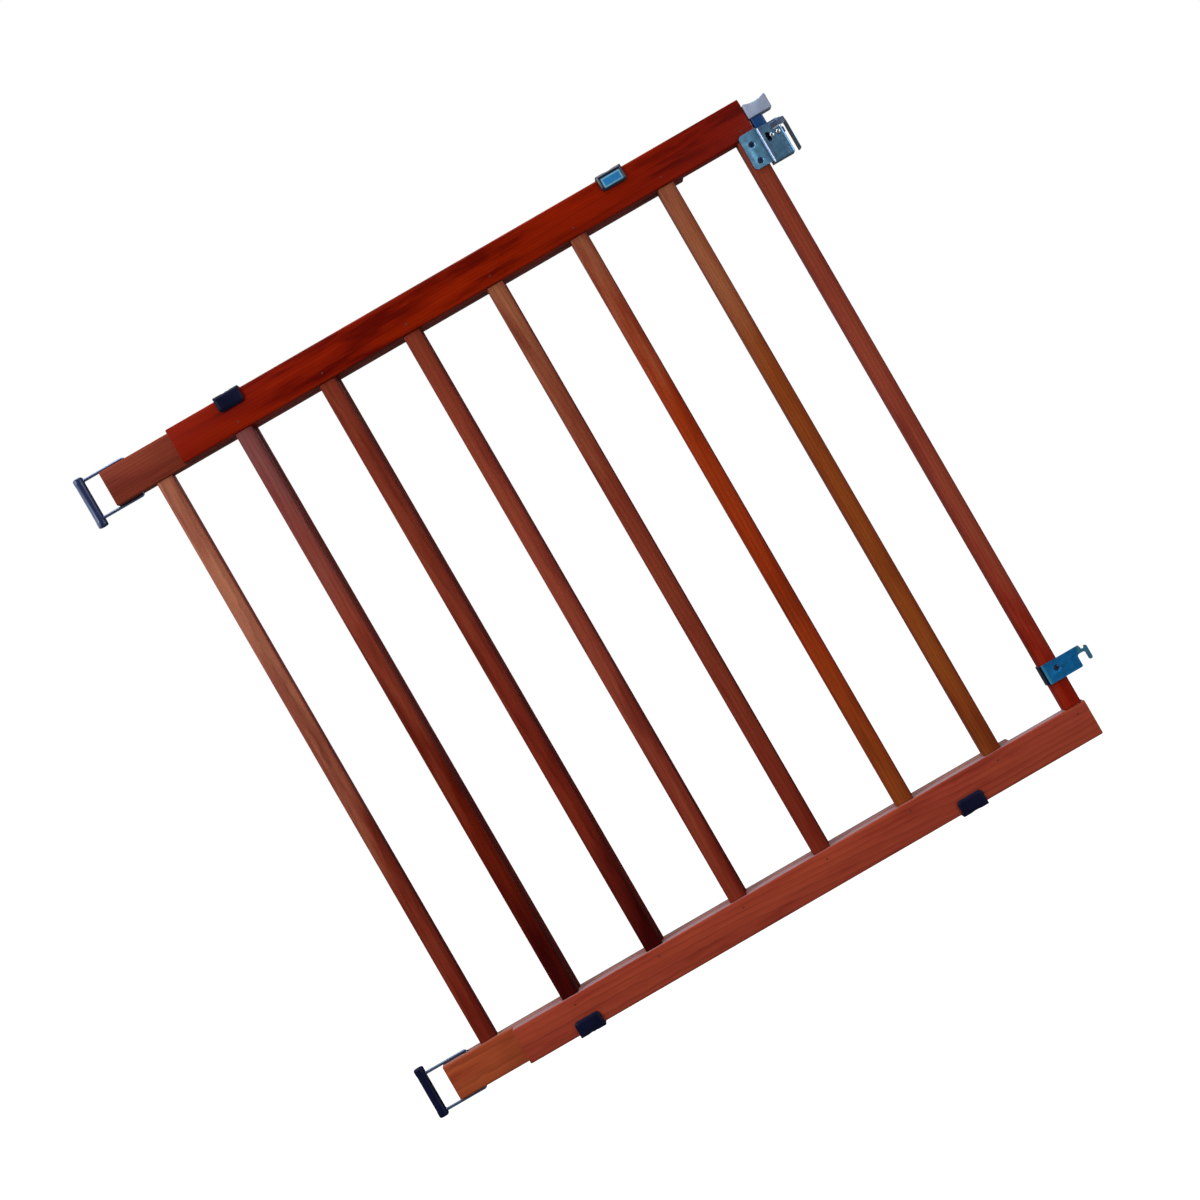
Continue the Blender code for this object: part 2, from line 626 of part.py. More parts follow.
# The back plate has a tab at each side, staked in a slot in the housing's wall
plate_back = HOUSING_BACK - FIT
plate_front = plate_back - SHEET
back_plate = box("latch_back_plate", (HOUSING_LEFT + SHEET + FIT, plate_front, HOUSING_BOTTOM + SHEET + FIT),
                 (HOUSING_RIGHT - SHEET - FIT, plate_back, HOUSING_TOP - SHEET - FIT), front_panel,
                 steel("latch_back_plate"))
tab_low = WORKS_Z - TAB_HEIGHT / 2 - TAB_DROP
join(back_plate, box("back_plate_tabs", (HOUSING_LEFT + FIT, plate_front, tab_low),
                     (HOUSING_RIGHT - FIT, plate_back, tab_low + TAB_HEIGHT), front_panel))
join(back_plate, box("rod_shelf", (ROD_X - SHELF_HALF, ROD_Y - SHELF_REACH, SHELF_Z[0]),
                     (ROD_X + SHELF_HALF, plate_front + SLIVER, SHELF_Z[1]), front_panel))
cut(back_plate, round_bar("shelf_hole", (ROD_X, ROD_Y, SHELF_Z[0]), ROD_RADIUS + FIT, 4 * SHEET, front_panel))
cut(housing, box("tab_slots", (HOUSING_LEFT - SHEET, plate_front - FIT, tab_low - FIT),
                 (HOUSING_RIGHT + SHEET, HOUSING_BACK - FIT / 3, tab_low + TAB_HEIGHT + FIT), front_panel))


# ---------------------------------------------------------------- latch works

guide_half = CAM_HEIGHT / 2 + GUIDE_RIM
guide = box("bolt_guide", (GUIDE_LEFT, wall_front + FIT, WORKS_Z - guide_half),
            (HOUSING_RIGHT - SHEET - FIT, bolt_back - FIT, WORKS_Z + guide_half), front_panel,
            plastic("bolt_guide"))
cut(guide, box("guide_channel", (CAM_LEFT, guide_plate_back, WORKS_Z - CAM_HEIGHT / 2 - FIT),
               (CAM_RIGHT + 2 * FIT, bolt_back + SHEET, WORKS_Z + CAM_HEIGHT / 2 + FIT), front_panel))
cut(guide, box("guide_nose_channel", (CAM_LEFT, guide_plate_back, WORKS_Z - BOLT_NOSE_HEIGHT / 2 - FIT),
               (HOUSING_RIGHT, bolt_back + SHEET, WORKS_Z + BOLT_NOSE_HEIGHT / 2 + FIT), front_panel))
for at, x in enumerate(RIVETS_X):
    cut(guide, round_bar(f"guide_hole_{at + 1}", (x, wall_front, WORKS_Z), RIVET_RADIUS + FIT, 4 * GUIDE_BACK,
                         front_panel, turn=(math.radians(90), 0, 0), sides=12))
    length = guide_plate_back - HOUSING_FRONT - FIT / 2
    turned(f"guide_rivet_{at + 1}",
           [(0, RIVET_HEAD_HEIGHT), (RIVET_HEAD * 0.6, RIVET_HEAD_HEIGHT * 0.85),
            (RIVET_HEAD * 0.92, RIVET_HEAD_HEIGHT * 0.45), (RIVET_HEAD, 0), (RIVET_RADIUS, 0),
            (RIVET_RADIUS, -length), (0, -length)],
           (x, HOUSING_FRONT - FIT, WORKS_Z), front_panel, steel(f"guide_rivet_{at + 1}", BRIGHT_STEEL),
           (math.radians(90), 0, 0))

# The bolt's slanted slot turns the plunger's lift into the bolt's draw
bolt = box("latch_bolt", (CAM_LEFT, bolt_front, WORKS_Z - CAM_HEIGHT / 2),
           (CAM_RIGHT, bolt_back, WORKS_Z + CAM_HEIGHT / 2), bolt_body, steel("latch_bolt", DARK_SCREW))
join(bolt, box("bolt_nose", (CAM_RIGHT - SHEET, bolt_front, WORKS_Z - BOLT_NOSE_HEIGHT / 2),
               (BOLT_TIP_X, bolt_back, WORKS_Z + BOLT_NOSE_HEIGHT / 2), bolt_body))
slot_low = Vector((ROD_X, PIN_Z))
slot_high = slot_low + Vector((BOLT_PER_LIFT * PLUNGER_LIFT, PLUNGER_LIFT))
lean = math.degrees(math.atan2(PLUNGER_LIFT, BOLT_PER_LIFT * PLUNGER_LIFT))
slot = arc(slot_high, PIN_RADIUS + FIT, lean - 90, lean + 90, 6)
slot += arc(slot_low, PIN_RADIUS + FIT, lean + 90, lean + 270, 6)
cut(bolt, plate("bolt_slot", slot, bolt_front - SHEET, BOLT_THICKNESS + 2 * SHEET, bolt_body))

collar_top = PIN_Z + PIN_RADIUS + COLLAR_GAP + COLLAR_HEIGHT
rod = turned("plunger_rod",
             [(0, ROD_TOP), (ROD_RADIUS, ROD_TOP), (ROD_RADIUS, collar_top), (COLLAR_RADIUS, collar_top),
              (COLLAR_RADIUS, collar_top - COLLAR_HEIGHT), (ROD_RADIUS, collar_top - COLLAR_HEIGHT),
              (ROD_RADIUS, ROD_FOOT), (0, ROD_FOOT)],
             (ROD_X, ROD_Y, 0), plunger, steel("plunger_rod", BRIGHT_STEEL))
cut(rod, round_bar("cross_pin_hole", (ROD_X, ROD_Y, PIN_Z), PIN_RADIUS + FIT / 3, 4 * ROD_RADIUS, plunger,
                   turn=(math.radians(90), 0, 0), sides=12))
pin_front = bolt_front + FIT
pin_back = ROD_Y + ROD_RADIUS - SLIVER
round_bar("cross_pin", (ROD_X, (pin_front + pin_back) / 2, PIN_Z), PIN_RADIUS, pin_back - pin_front, plunger,
          steel("cross_pin", BRIGHT_STEEL), (math.radians(90), 0, 0), sides=12)

spring_low = collar_top + SPRING_WIRE + SLIVER
spring_high = HOUSING_TOP - SHEET - SPRING_WIRE - SLIVER
coil = []
for at in range(SPRING_TURNS * SPRING_POINTS + 1):
    angle = 2 * math.pi * at / SPRING_POINTS
    rise = (spring_high - spring_low) * at / (SPRING_TURNS * SPRING_POINTS)
    coil.append((SPRING_RADIUS * math.cos(angle), SPRING_RADIUS * math.sin(angle), rise))
wire("latch_spring", coil, SPRING_WIRE, (ROD_X, ROD_Y, spring_low), front_panel,
     steel("latch_spring", BRIGHT_STEEL))


# ---------------------------------------------------------------- lift knob

knob_middle = (KNOB_LEFT + KNOB_RIGHT) / 2
knob = box("lift_knob", (KNOB_LEFT, ROD_Y - KNOB_DEPTH / 2, KNOB_FLOOR),
           (KNOB_RIGHT, ROD_Y + KNOB_DEPTH / 2, KNOB_TOP), plunger, plastic("lift_knob", GREY_PLASTIC),
           KNOB_EASE)
dip_half = (KNOB_RIGHT - KNOB_LEFT) / 2 - KNOB_LIP
dip_radius = (dip_half ** 2 + KNOB_DIP ** 2) / (2 * KNOB_DIP)
cut(knob, round_bar("knob_dip", (knob_middle, ROD_Y, KNOB_TOP - KNOB_DIP + dip_radius), dip_radius,
                    2 * KNOB_DEPTH, plunger, turn=(math.radians(90), 0, 0), sides=72))
neck = box("knob_neck", (ROD_X - NECK_WIDTH / 2, ROD_Y - NECK_DEPTH / 2, HOUSING_TOP + FIT),
           (ROD_X + NECK_WIDTH / 2, ROD_Y + NECK_DEPTH / 2, KNOB_FLOOR + KNOB_DIP), plunger)
join(knob, neck)
cut(knob, round_bar("knob_bore", (ROD_X, ROD_Y, HOUSING_TOP + (ROD_TOP - HOUSING_TOP) / 2),
                    ROD_RADIUS + FIT, ROD_TOP - HOUSING_TOP + 2 * FIT, plunger))


# ---------------------------------------------------------------- lower hook bracket

tine_end = (HOOK_TINE_RIGHT - HOOK_TINE_LEFT) / 2
hook_front = FRONT_FACE - FIT - HOOK_THICKNESS
neck_corner = (HOOK_NECK_X - HOOK_NECK_CORNER, HOOK_TOP - HOOK_NECK_CORNER)
dip_floor = HOOK_TOP - HOOK_DIP
outline = [(HOOK_LEFT, HOOK_TOP), (neck_corner[0], HOOK_TOP)]
outline += arc(neck_corner, HOOK_NECK_CORNER, 75, 10, 3)
outline += arc((HOOK_NECK_X + HOOK_DIP_RADIUS + HOOK_NECK_CORNER / 2, dip_floor + HOOK_NECK_CORNER),
               HOOK_DIP_RADIUS, 195, 300, 5)
outline += arc((HOOK_TINE_RIGHT - HOOK_TINE_SHOULDER, dip_floor), HOOK_TINE_SHOULDER, 115, 0, 5)
outline += arc((HOOK_TINE_LEFT + tine_end, HOOK_TINE_FLOOR + tine_end), tine_end, 0, -180, 6)
outline += arc((HOOK_TINE_LEFT - HOOK_NOTCH_BEND, HOOK_NOTCH_TOP - HOOK_NOTCH_BEND),
               HOOK_NOTCH_BEND, 0, 90, 4)
outline += arc((HOOK_PLATE_RIGHT + HOOK_NOTCH_BEND, HOOK_NOTCH_TOP - HOOK_NOTCH_BEND),
               HOOK_NOTCH_BEND, 90, 180, 4)
outline += arc((HOOK_PLATE_RIGHT - HOOK_PLATE_CORNER, HOOK_FLOOR + HOOK_PLATE_CORNER),
               HOOK_PLATE_CORNER, 0, -90, 3)
outline += [(HOOK_LEFT, HOOK_FLOOR)]
hook = plate("lower_hook_bracket", outline, hook_front, HOOK_THICKNESS, front_panel,
             steel("lower_hook_bracket", ZINC_BLUE))
join(hook, box("hook_flange", (HOOK_LEFT, hook_front + SLIVER, HOOK_FLOOR),
               (HOOK_LEFT + SHEET, HOOK_FLANGE_BACK, HOOK_TOP), front_panel))
front_screw("hook_screw", HOOK_SCREW[0], hook_front, HOOK_SCREW[1], (hook, stile))
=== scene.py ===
import json
import math

import bmesh
import bpy
from mathutils import Matrix, Vector


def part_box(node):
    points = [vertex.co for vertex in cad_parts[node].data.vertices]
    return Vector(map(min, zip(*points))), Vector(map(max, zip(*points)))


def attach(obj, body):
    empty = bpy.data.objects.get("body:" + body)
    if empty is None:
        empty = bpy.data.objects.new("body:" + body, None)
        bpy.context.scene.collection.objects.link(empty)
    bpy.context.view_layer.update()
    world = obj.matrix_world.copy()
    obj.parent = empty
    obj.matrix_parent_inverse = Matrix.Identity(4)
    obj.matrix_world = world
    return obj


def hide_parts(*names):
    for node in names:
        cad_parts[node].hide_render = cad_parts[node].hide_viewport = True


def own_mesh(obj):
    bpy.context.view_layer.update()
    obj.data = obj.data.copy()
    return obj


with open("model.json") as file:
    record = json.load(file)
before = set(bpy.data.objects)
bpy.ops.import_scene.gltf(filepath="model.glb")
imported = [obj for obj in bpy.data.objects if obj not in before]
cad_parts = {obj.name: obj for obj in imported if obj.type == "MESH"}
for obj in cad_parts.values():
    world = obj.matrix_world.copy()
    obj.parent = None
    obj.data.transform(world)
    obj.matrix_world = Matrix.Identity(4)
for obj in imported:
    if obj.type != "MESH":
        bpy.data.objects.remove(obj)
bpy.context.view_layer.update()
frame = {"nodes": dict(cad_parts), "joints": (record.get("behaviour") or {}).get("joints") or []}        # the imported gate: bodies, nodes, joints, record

nodes = frame["nodes"]
joints = {joint["name"]: joint for joint in frame["joints"]}
frontBars = sorted(name for name in nodes if name.startswith("front_bar_"))
rearBars = sorted(name for name in nodes if name.startswith("rear_bar_"))
fit = 0.0003        # gap between pieces that touch
towardFront = Matrix.Rotation(math.radians(90), 4, "X")        # turns +Z to -Y
towardBack = Matrix.Rotation(math.radians(-90), 4, "X")
upsideDown = Matrix.Rotation(math.radians(180), 4, "X")


# camera: square on to the gate, rolled so that the gate leans to the left
shot = {"distance": 2.0, "width": 1.176, "aimX": 0.0013, "aimZ": 0.3669, "roll": -30.05, "sensor": 36.0}
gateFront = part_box("front_top_rail")[0].y
cameraData = bpy.data.cameras.new("camera")
cameraData.sensor_width = shot["sensor"]
cameraData.lens = shot["sensor"] * shot["distance"] / shot["width"]
camera = bpy.data.objects.new("camera", cameraData)
bpy.context.scene.collection.objects.link(camera)
camera.matrix_world = (Matrix.Translation((shot["aimX"], gateFront - shot["distance"], shot["aimZ"]))
                       @ towardFront @ Matrix.Rotation(math.radians(shot["roll"]), 4, "Z"))
bpy.context.scene.camera = camera
print("camera set")


sameSpot = 0.00001        # places closer than this are one place


# shape helpers

def middleOf(node):
    low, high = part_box(node)
    return (low + high) / 2
def block(low, high):
    shape = bmesh.new()
    low, high = Vector(low), Vector(high)
    bmesh.ops.create_cube(shape, size=1, matrix=Matrix.LocRotScale((low + high) / 2, None, high - low))
    return shape


def rod(centre, radius, length, turned=Matrix.Identity(4), sides=32):
    shape = bmesh.new()
    bmesh.ops.create_cone(shape, cap_ends=True, segments=sides, radius1=radius, radius2=radius, depth=length,
                          matrix=Matrix.Translation(centre) @ turned)
    return shape


def edgesAlong(shape, axis):
    found = []
    for edge in shape.edges:
        run = (edge.verts[0].co - edge.verts[1].co).normalized()
        if abs(run[axis]) > 0.99:
            found.append(edge)
    return found


def edgesAt(shape, axis, places, near=sameSpot):
    return [edge for edge in shape.edges
            if any(all(abs(vert.co[axis] - place) < near for vert in edge.verts) for place in places)]


def roundOver(shape, edges, width, segments):
    bmesh.ops.bevel(shape, geom=edges, offset=width, segments=segments, profile=0.5, affect="EDGES",
                    material=-1, clamp_overlap=True)


def move(shape, matrix):
    bmesh.ops.transform(shape, matrix=matrix, verts=shape.verts)
    return shape


def lathe(profile, steps=32, ring=False):
    # profile points are (radius, height), spun round Z
    shape = bmesh.new()
    verts = [shape.verts.new((radius, 0, height)) for radius, height in profile]
    edges = [shape.edges.new(pair) for pair in zip(verts, verts[1:])]
    if ring:
        edges.append(shape.edges.new((verts[-1], verts[0])))
    bmesh.ops.spin(shape, geom=verts + edges, cent=(0, 0, 0), axis=(0, 0, 1), angle=2 * math.pi,
                   steps=steps, use_merge=True)
    bmesh.ops.remove_doubles(shape, verts=shape.verts, dist=0.0000005)
    bmesh.ops.recalc_face_normals(shape, faces=shape.faces)
    return shape


def extrudeFace(points, along):
    shape = bmesh.new()
    face = shape.faces.new([shape.verts.new(point) for point in points])
    grown = bmesh.ops.extrude_face_region(shape, geom=[face])
    fresh = [item for item in grown["geom"] if isinstance(item, bmesh.types.BMVert)]
    bmesh.ops.translate(shape, vec=along, verts=fresh)
    bmesh.ops.recalc_face_normals(shape, faces=shape.faces)
    return shape


def cutOut(outline, front, thickness):
    # a flat outline of (x, z) points, extruded backwards from its front
    return extrudeFace([(x, front, z) for x, z in outline], (0, thickness, 0))


def extrudeUp(outline, foot, tall):
    # a flat outline of (x, y) points, extruded upwards from its foot
    return extrudeFace([(x, y, foot) for x, y in outline], (0, 0, tall))


def arc(centre, radius, start, end, steps):
    points = []
    for at in range(steps + 1):
        angle = math.radians(start + (end - start) * at / steps)
        points.append((centre[0] + radius * math.cos(angle), centre[1] + radius * math.sin(angle)))
    return points


def roundedPath(corners, radius, steps=8):
    points = [Vector(corners[0])]
    for before, corner, after in zip(corners, corners[1:], corners[2:]):
        before, corner, after = Vector(before), Vector(corner), Vector(after)
        toward = (before - corner).normalized()
        away = (after - corner).normalized()
        centre = corner + (toward + away) * radius
        for at in range(steps + 1):
            angle = math.radians(90 * at / steps)
            points.append(centre - away * radius * math.cos(angle) - toward * radius * math.sin(angle))
    points.append(Vector(corners[-1]))
    return points


def makePiece(shape, name):
    mesh = bpy.data.meshes.new(name)
    shape.to_mesh(mesh)
    shape.free()
    piece = bpy.data.objects.new(name, mesh)
    bpy.context.scene.collection.objects.link(piece)
    return piece


def settle(piece):
    # modifiers become the piece's own mesh
    graph = bpy.context.evaluated_depsgraph_get()
    mesh = bpy.data.meshes.new_from_object(piece.evaluated_get(graph))
    old = piece.data
    piece.modifiers.clear()
    piece.data = mesh
    mesh.name = piece.name
    bpy.data.meshes.remove(old)


def combine(piece, shapes, operation="DIFFERENCE"):
    for shape in shapes:
        tool = makePiece(shape, "tool")
        step = piece.modifiers.new("combine", "BOOLEAN")
        step.operation = operation
        step.solver = "EXACT"
        step.object = tool
        settle(piece)
        bpy.data.objects.remove(tool)
    return piece


def softenEdges(piece, width, segments=2, angle=35):
    step = piece.modifiers.new("soften", "BEVEL")
    step.width = width
    step.segments = segments
    step.limit_method = "ANGLE"
    step.angle_limit = math.radians(angle)
    step.harden_normals = False
    settle(piece)


def fitOut(piece, body, material, standsFor=(), angle=38):
    # shade, finish and place one piece
    piece.data.shade_smooth()
    piece.data.set_sharp_from_angle(angle=math.radians(angle))
    piece.data.materials.clear()
    piece.data.materials.append(material)
    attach(piece, body)
    if standsFor:
        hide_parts(*standsFor)
    return piece


def tube(points, radius, name, roundness=5):
    curve = bpy.data.curves.new(name, "CURVE")
    curve.dimensions = "3D"
    spline = curve.splines.new("POLY")
    spline.points.add(len(points) - 1)
    for spot, point in zip(spline.points, points):
        spot.co = (*point, 1)
    curve.bevel_depth = radius
    curve.bevel_resolution = roundness
    curve.use_fill_caps = True
    holder = bpy.data.objects.new(name, curve)
    bpy.context.scene.collection.objects.link(holder)
    bpy.context.view_layer.update()
    graph = bpy.context.evaluated_depsgraph_get()
    mesh = bpy.data.meshes.new_from_object(holder.evaluated_get(graph))
    bpy.data.objects.remove(holder)
    shape = bmesh.new()
    shape.from_mesh(mesh)
    bpy.data.meshes.remove(mesh)
    bmesh.ops.remove_doubles(shape, verts=shape.verts, dist=0.0000005)
    return shape


# material helpers

def addNode(tree, kind, settings=None, inputs=None):
    node = tree.nodes.new(kind)
    for key, value in (settings or {}).items():
        setattr(node, key, value)
    for key, value in (inputs or {}).items():
        node.inputs[key].default_value = value
    return node


def blendColours(tree, mode, factor, first, second):
    node = addNode(tree, "ShaderNodeMix", {"data_type": "RGBA", "blend_type": mode})
    for socket, value in ((node.inputs[0], factor), (node.inputs[6], first), (node.inputs[7], second)):
        if isinstance(value, bpy.types.NodeSocket):
            tree.links.new(value, socket)
        elif isinstance(value, (int, float)):
            socket.default_value = value
        else:
            socket.default_value = (*value, 1)
    return node.outputs[2]


def doMath(tree, operation, first, second):
    node = addNode(tree, "ShaderNodeMath", {"operation": operation})
    for socket, value in zip(node.inputs, (first, second)):
        if isinstance(value, bpy.types.NodeSocket):
            tree.links.new(value, socket)
        else:
            socket.default_value = value
    return node.outputs[0]


def ramp(tree, factor, stops):
    node = addNode(tree, "ShaderNodeValToRGB")
    marks = node.color_ramp.elements
    while len(marks) < len(stops):
        marks.new(0.5)
    for mark, (place, colour) in zip(marks, stops):
        mark.position = place
        mark.color = (*colour, 1)
    tree.links.new(factor, node.inputs[0])
    return node.outputs[0]


def startMaterial(name):
    material = bpy.data.materials.new(name)
    material.use_nodes = True
    tree = material.node_tree
    place = addNode(tree, "ShaderNodeTexCoord").outputs["Object"]
    return material, tree, tree.nodes["Principled BSDF"], place


def scaled(tree, vector, scale, offset=(0, 0, 0), rotation=(0, 0, 0)):
    node = addNode(tree, "ShaderNodeMapping", None,
                   {"Location": offset, "Rotation": rotation, "Scale": scale})
    tree.links.new(vector, node.inputs["Vector"])
    return node.outputs["Vector"]


def noise(tree, vector, scale, detail=3.0, roughness=0.5):
    node = addNode(tree, "ShaderNodeTexNoise", None,
                   {"Scale": scale, "Detail": detail, "Roughness": roughness})
    tree.links.new(vector, node.inputs["Vector"])
    return node.outputs["Fac"]


def mapped(tree, value, low, high):
    # 0 where the value is low, 1 where it is high
    node = addNode(tree, "ShaderNodeMapRange", None, {"From Min": low, "From Max": high})
    tree.links.new(value, node.inputs["Value"])
    return node.outputs[0]


def between(tree, share, low, high):
    # low where the share is 0, high where it is 1
    node = addNode(tree, "ShaderNodeMapRange", None, {"To Min": low, "To Max": high})
    tree.links.new(share, node.inputs["Value"])
    return node.outputs[0]


def bump(tree, height, shader, strength, distance):
    node = addNode(tree, "ShaderNodeBump", None, {"Strength": strength, "Distance": distance})
    tree.links.new(height, node.inputs["Height"])
    tree.links.new(node.outputs["Normal"], shader.inputs["Normal"])


def startCoat(material):
    # a finished material's tree, its place on each axis, its colour socket and the colour so far
    tree = material.node_tree
    spot = addNode(tree, "ShaderNodeSeparateXYZ")
    tree.links.new(addNode(tree, "ShaderNodeTexCoord").outputs["Object"], spot.inputs[0])
    base = tree.nodes["Principled BSDF"].inputs["Base Color"]
    return tree, spot.outputs, base, base.links[0].from_socket


# stained hardwood: growth rings cut lengthways, fibres, pores and a blotchy stain under varnish
wood = {"ringScale": 95.0, "ringTilt": 0.022, "pith": (0.0, 0.055, 0.038), "pithWander": 0.01,
        "bendScale": (2.2, 16, 16), "bendDepth": 0.016, "drift": 0.5,
        "roughness": 0.40, "duller": 0.1, "glossier": 0.08, "specular": 0.04,
        "coat": 0.04, "coatRoughness": 0.16, "relief": 0.03, "reliefDeep": 0.00004,
        # the last three keys place the painted highlight on a bottom rail's top face
        "sheenTop": 0.0001, "sheenFloor": 0.0004, "sheenFibres": (0.15, 0.55)}
ringTones = [(0.0, (1, 1, 1)), (0.72, (0.93, 0.90, 0.88)), (0.95, (0.74, 0.74, 0.74)),
             (1.0, (0.9, 0.88, 0.86))]
# each layer of grain: its scale along and across the board, its noise, its share and its tones
grainLayers = {
    "fibre": {"scale": (5.0, 620.0, 620.0), "detail": 4.0, "roughness": 0.65, "share": 0.8,
              "tones": [(0.30, (0.86, 0.83, 0.82)), (0.52, (1, 1, 1)), (0.72, (1.08, 1.10, 1.11))]},
    "pore": {"scale": (20.0, 1500.0, 1500.0), "detail": 1.0, "roughness": 0.4, "share": 0.25,
             "tones": [(0.30, (0.45, 0.40, 0.40)), (0.40, (1, 1, 1))]},
    "blotch": {"scale": (9, 70, 70), "detail": 3.0, "roughness": 0.55, "share": 0.4,
               "tones": [(0.36, (0.50, 0.30, 0.34)), (0.47, (0.96, 0.94, 0.94)), (0.62, (1.18, 1.36, 1.16))]},
}
# painted light across an upright from its left side to its right: a pale sheen on the left, painted shade
# along the right
sideSheenAndShade = [(0.0, (0.95, 0.82, 0.95)), (0.14, (1.06, 1.06, 1.10)), (0.48, (1.08, 1.10, 1.08)),
               (0.74, (0.94, 0.92, 0.90)), (0.90, (0.84, 0.66, 0.66)), (1.0, (0.42, 0.20, 0.24))]


def makeWood(name, upright, span, tones, seed, topSheen=None, patchy=None, sideShadeSpan=None):
    # tones run from the low end of the span to its high end; the optional (height, colour) gives a painted
    # highlight on the upper face; patchy is the blotches' share; the optional (left, right) of an upright
    # gives it painted sheen on its left side and painted shade along its right side
    material, tree, shader, place = startMaterial(name)
    grainTurn = (0, math.radians(90), 0) if upright else (0, 0, 0)
    along = scaled(tree, place, (1, 1, 1), (seed * 0.37, seed * 0.011, seed * -0.017), grainTurn)
    wander = addNode(tree, "ShaderNodeTexNoise", None, {"Scale": 1.0, "Detail": 2.0})
    tree.links.new(scaled(tree, along, wood["bendScale"]), wander.inputs["Vector"])
    shift = addNode(tree, "ShaderNodeVectorMath", {"operation": "SCALE"}, {"Scale": wood["bendDepth"]})
    tree.links.new(wander.outputs["Color"], shift.inputs[0])
    bent = addNode(tree, "ShaderNodeVectorMath", {"operation": "ADD"})
    tree.links.new(along, bent.inputs[0])
    tree.links.new(shift.outputs[0], bent.inputs[1])
    pith = (wood["pith"][0], wood["pith"][1] + wood["pithWander"] * math.sin(seed * 2.1),
            wood["pith"][2] + wood["pithWander"] * math.cos(seed))
    tilt = (0, wood["ringTilt"] * math.sin(seed * 1.7 + 0.6), wood["ringTilt"] * math.cos(seed * 2.3))
    rings = addNode(tree, "ShaderNodeTexWave",
                    {"wave_type": "RINGS", "rings_direction": "X", "wave_profile": "SAW"},
                    {"Scale": wood["ringScale"], "Distortion": 1.2, "Detail": 2.0, "Detail Scale": 0.6})
    tree.links.new(scaled(tree, bent.outputs[0], (1, 1, 1), pith, tilt), rings.inputs["Vector"])
    grain = {}
    for kind, layer in grainLayers.items():
        stretched = scaled(tree, along, layer["scale"])
        grain[kind] = noise(tree, stretched, 1.0, layer["detail"], layer["roughness"])
    axis = addNode(tree, "ShaderNodeSeparateXYZ")
    tree.links.new(place, axis.inputs[0])
    reach = mapped(tree, axis.outputs["Z" if upright else "X"], *span)
    uneven = doMath(tree, "MULTIPLY", doMath(tree, "SUBTRACT", grain["blotch"], 0.5), wood["drift"])
    stops = [(at / (len(tones) - 1), tone) for at, tone in enumerate(tones)]
    stain = ramp(tree, doMath(tree, "ADD", reach, uneven), stops)
    colour = blendColours(tree, "MULTIPLY", 1.0, stain, ramp(tree, rings.outputs["Fac"], ringTones))
    grainTone = {}
    for kind, layer in grainLayers.items():
        share = patchy if kind == "blotch" and patchy is not None else layer["share"]
        grainTone[kind] = ramp(tree, grain[kind], layer["tones"])
        colour = blendColours(tree, "MULTIPLY", share, colour, grainTone[kind])
    # painted sheen on the upright's left side and painted shade along its right side
    if sideShadeSpan:
        paintedSideTone = ramp(tree, mapped(tree, axis.outputs["X"], *sideShadeSpan), sideSheenAndShade)
        colour = blendColours(tree, "MULTIPLY", 1.0, colour, paintedSideTone)
    # painted highlight on the upper face of a bottom rail, broken up along the fibres
    if topSheen:
        height, topSheenTone = topSheen
        onTop = mapped(tree, axis.outputs["Z"], height - wood["sheenFloor"], height - wood["sheenTop"])
        topSheenShare = doMath(tree, "MULTIPLY", onTop, mapped(tree, grain["fibre"], *wood["sheenFibres"]))
        colour = blendColours(tree, "MIX", topSheenShare, colour, topSheenTone)
    tree.links.new(colour, shader.inputs["Base Color"])
    gloss = between(tree, grain["fibre"], wood["roughness"] - wood["glossier"],
                    wood["roughness"] + wood["duller"])
    tree.links.new(gloss, shader.inputs["Roughness"])
    shader.inputs["Specular IOR Level"].default_value = wood["specular"]
    shader.inputs["Coat Weight"].default_value = wood["coat"]
    shader.inputs["Coat Roughness"].default_value = wood["coatRoughness"]
    relief = doMath(tree, "ADD", doMath(tree, "MULTIPLY", grain["fibre"], 0.5),
                    doMath(tree, "MULTIPLY", grainTone["pore"], 0.8))
    bump(tree, relief, shader, wood["relief"], wood["reliefDeep"])
    return material


# plated steel: a mottled passivated film over faint rolling lines
steel = {"filmScale": 210.0, "lineScale": (60, 900, 2600), "duller": 0.1, "glossier": 0.07,
         "relief": 0.08, "reliefDeep": 0.00004,
         "lineTones": [(0.35, (0.9, 0.9, 0.9)), (0.65, (1.06, 1.06, 1.06))]}


def makeSteel(name, colour, roughness=0.34, metallic=0.85, mottle=0.16, brushed=0.5):
    material, tree, shader, place = startMaterial(name)
    film = noise(tree, place, steel["filmScale"], 4.0, 0.6)
    lines = noise(tree, scaled(tree, place, steel["lineScale"]), 1.0, 2.0, 0.5)
    light = tuple(min(1.0, part * (1 + mottle)) for part in colour)
    dark = tuple(part * (1 - mottle) for part in colour)
    tone = ramp(tree, film, [(0.32, dark), (0.5, colour), (0.70, light)])
    lineTone = ramp(tree, lines, steel["lineTones"])
    tree.links.new(blendColours(tree, "MULTIPLY", brushed, tone, lineTone), shader.inputs["Base Color"])
    gloss = between(tree, film, roughness - steel["glossier"], roughness + steel["duller"])
    tree.links.new(gloss, shader.inputs["Roughness"])
    shader.inputs["Metallic"].default_value = metallic
    bump(tree, lines, shader, steel["relief"], steel["reliefDeep"])
    return material


# moulded plastic: fine spark-eroded texture and slightly uneven gloss
plastic = {"grainScale": 2600.0, "cloudScale": 60.0, "lighter": 1.15, "lift": 0.002, "darker": 0.86,
           "duller": 0.07, "glossier": 0.05, "reliefDeep": 0.00005}


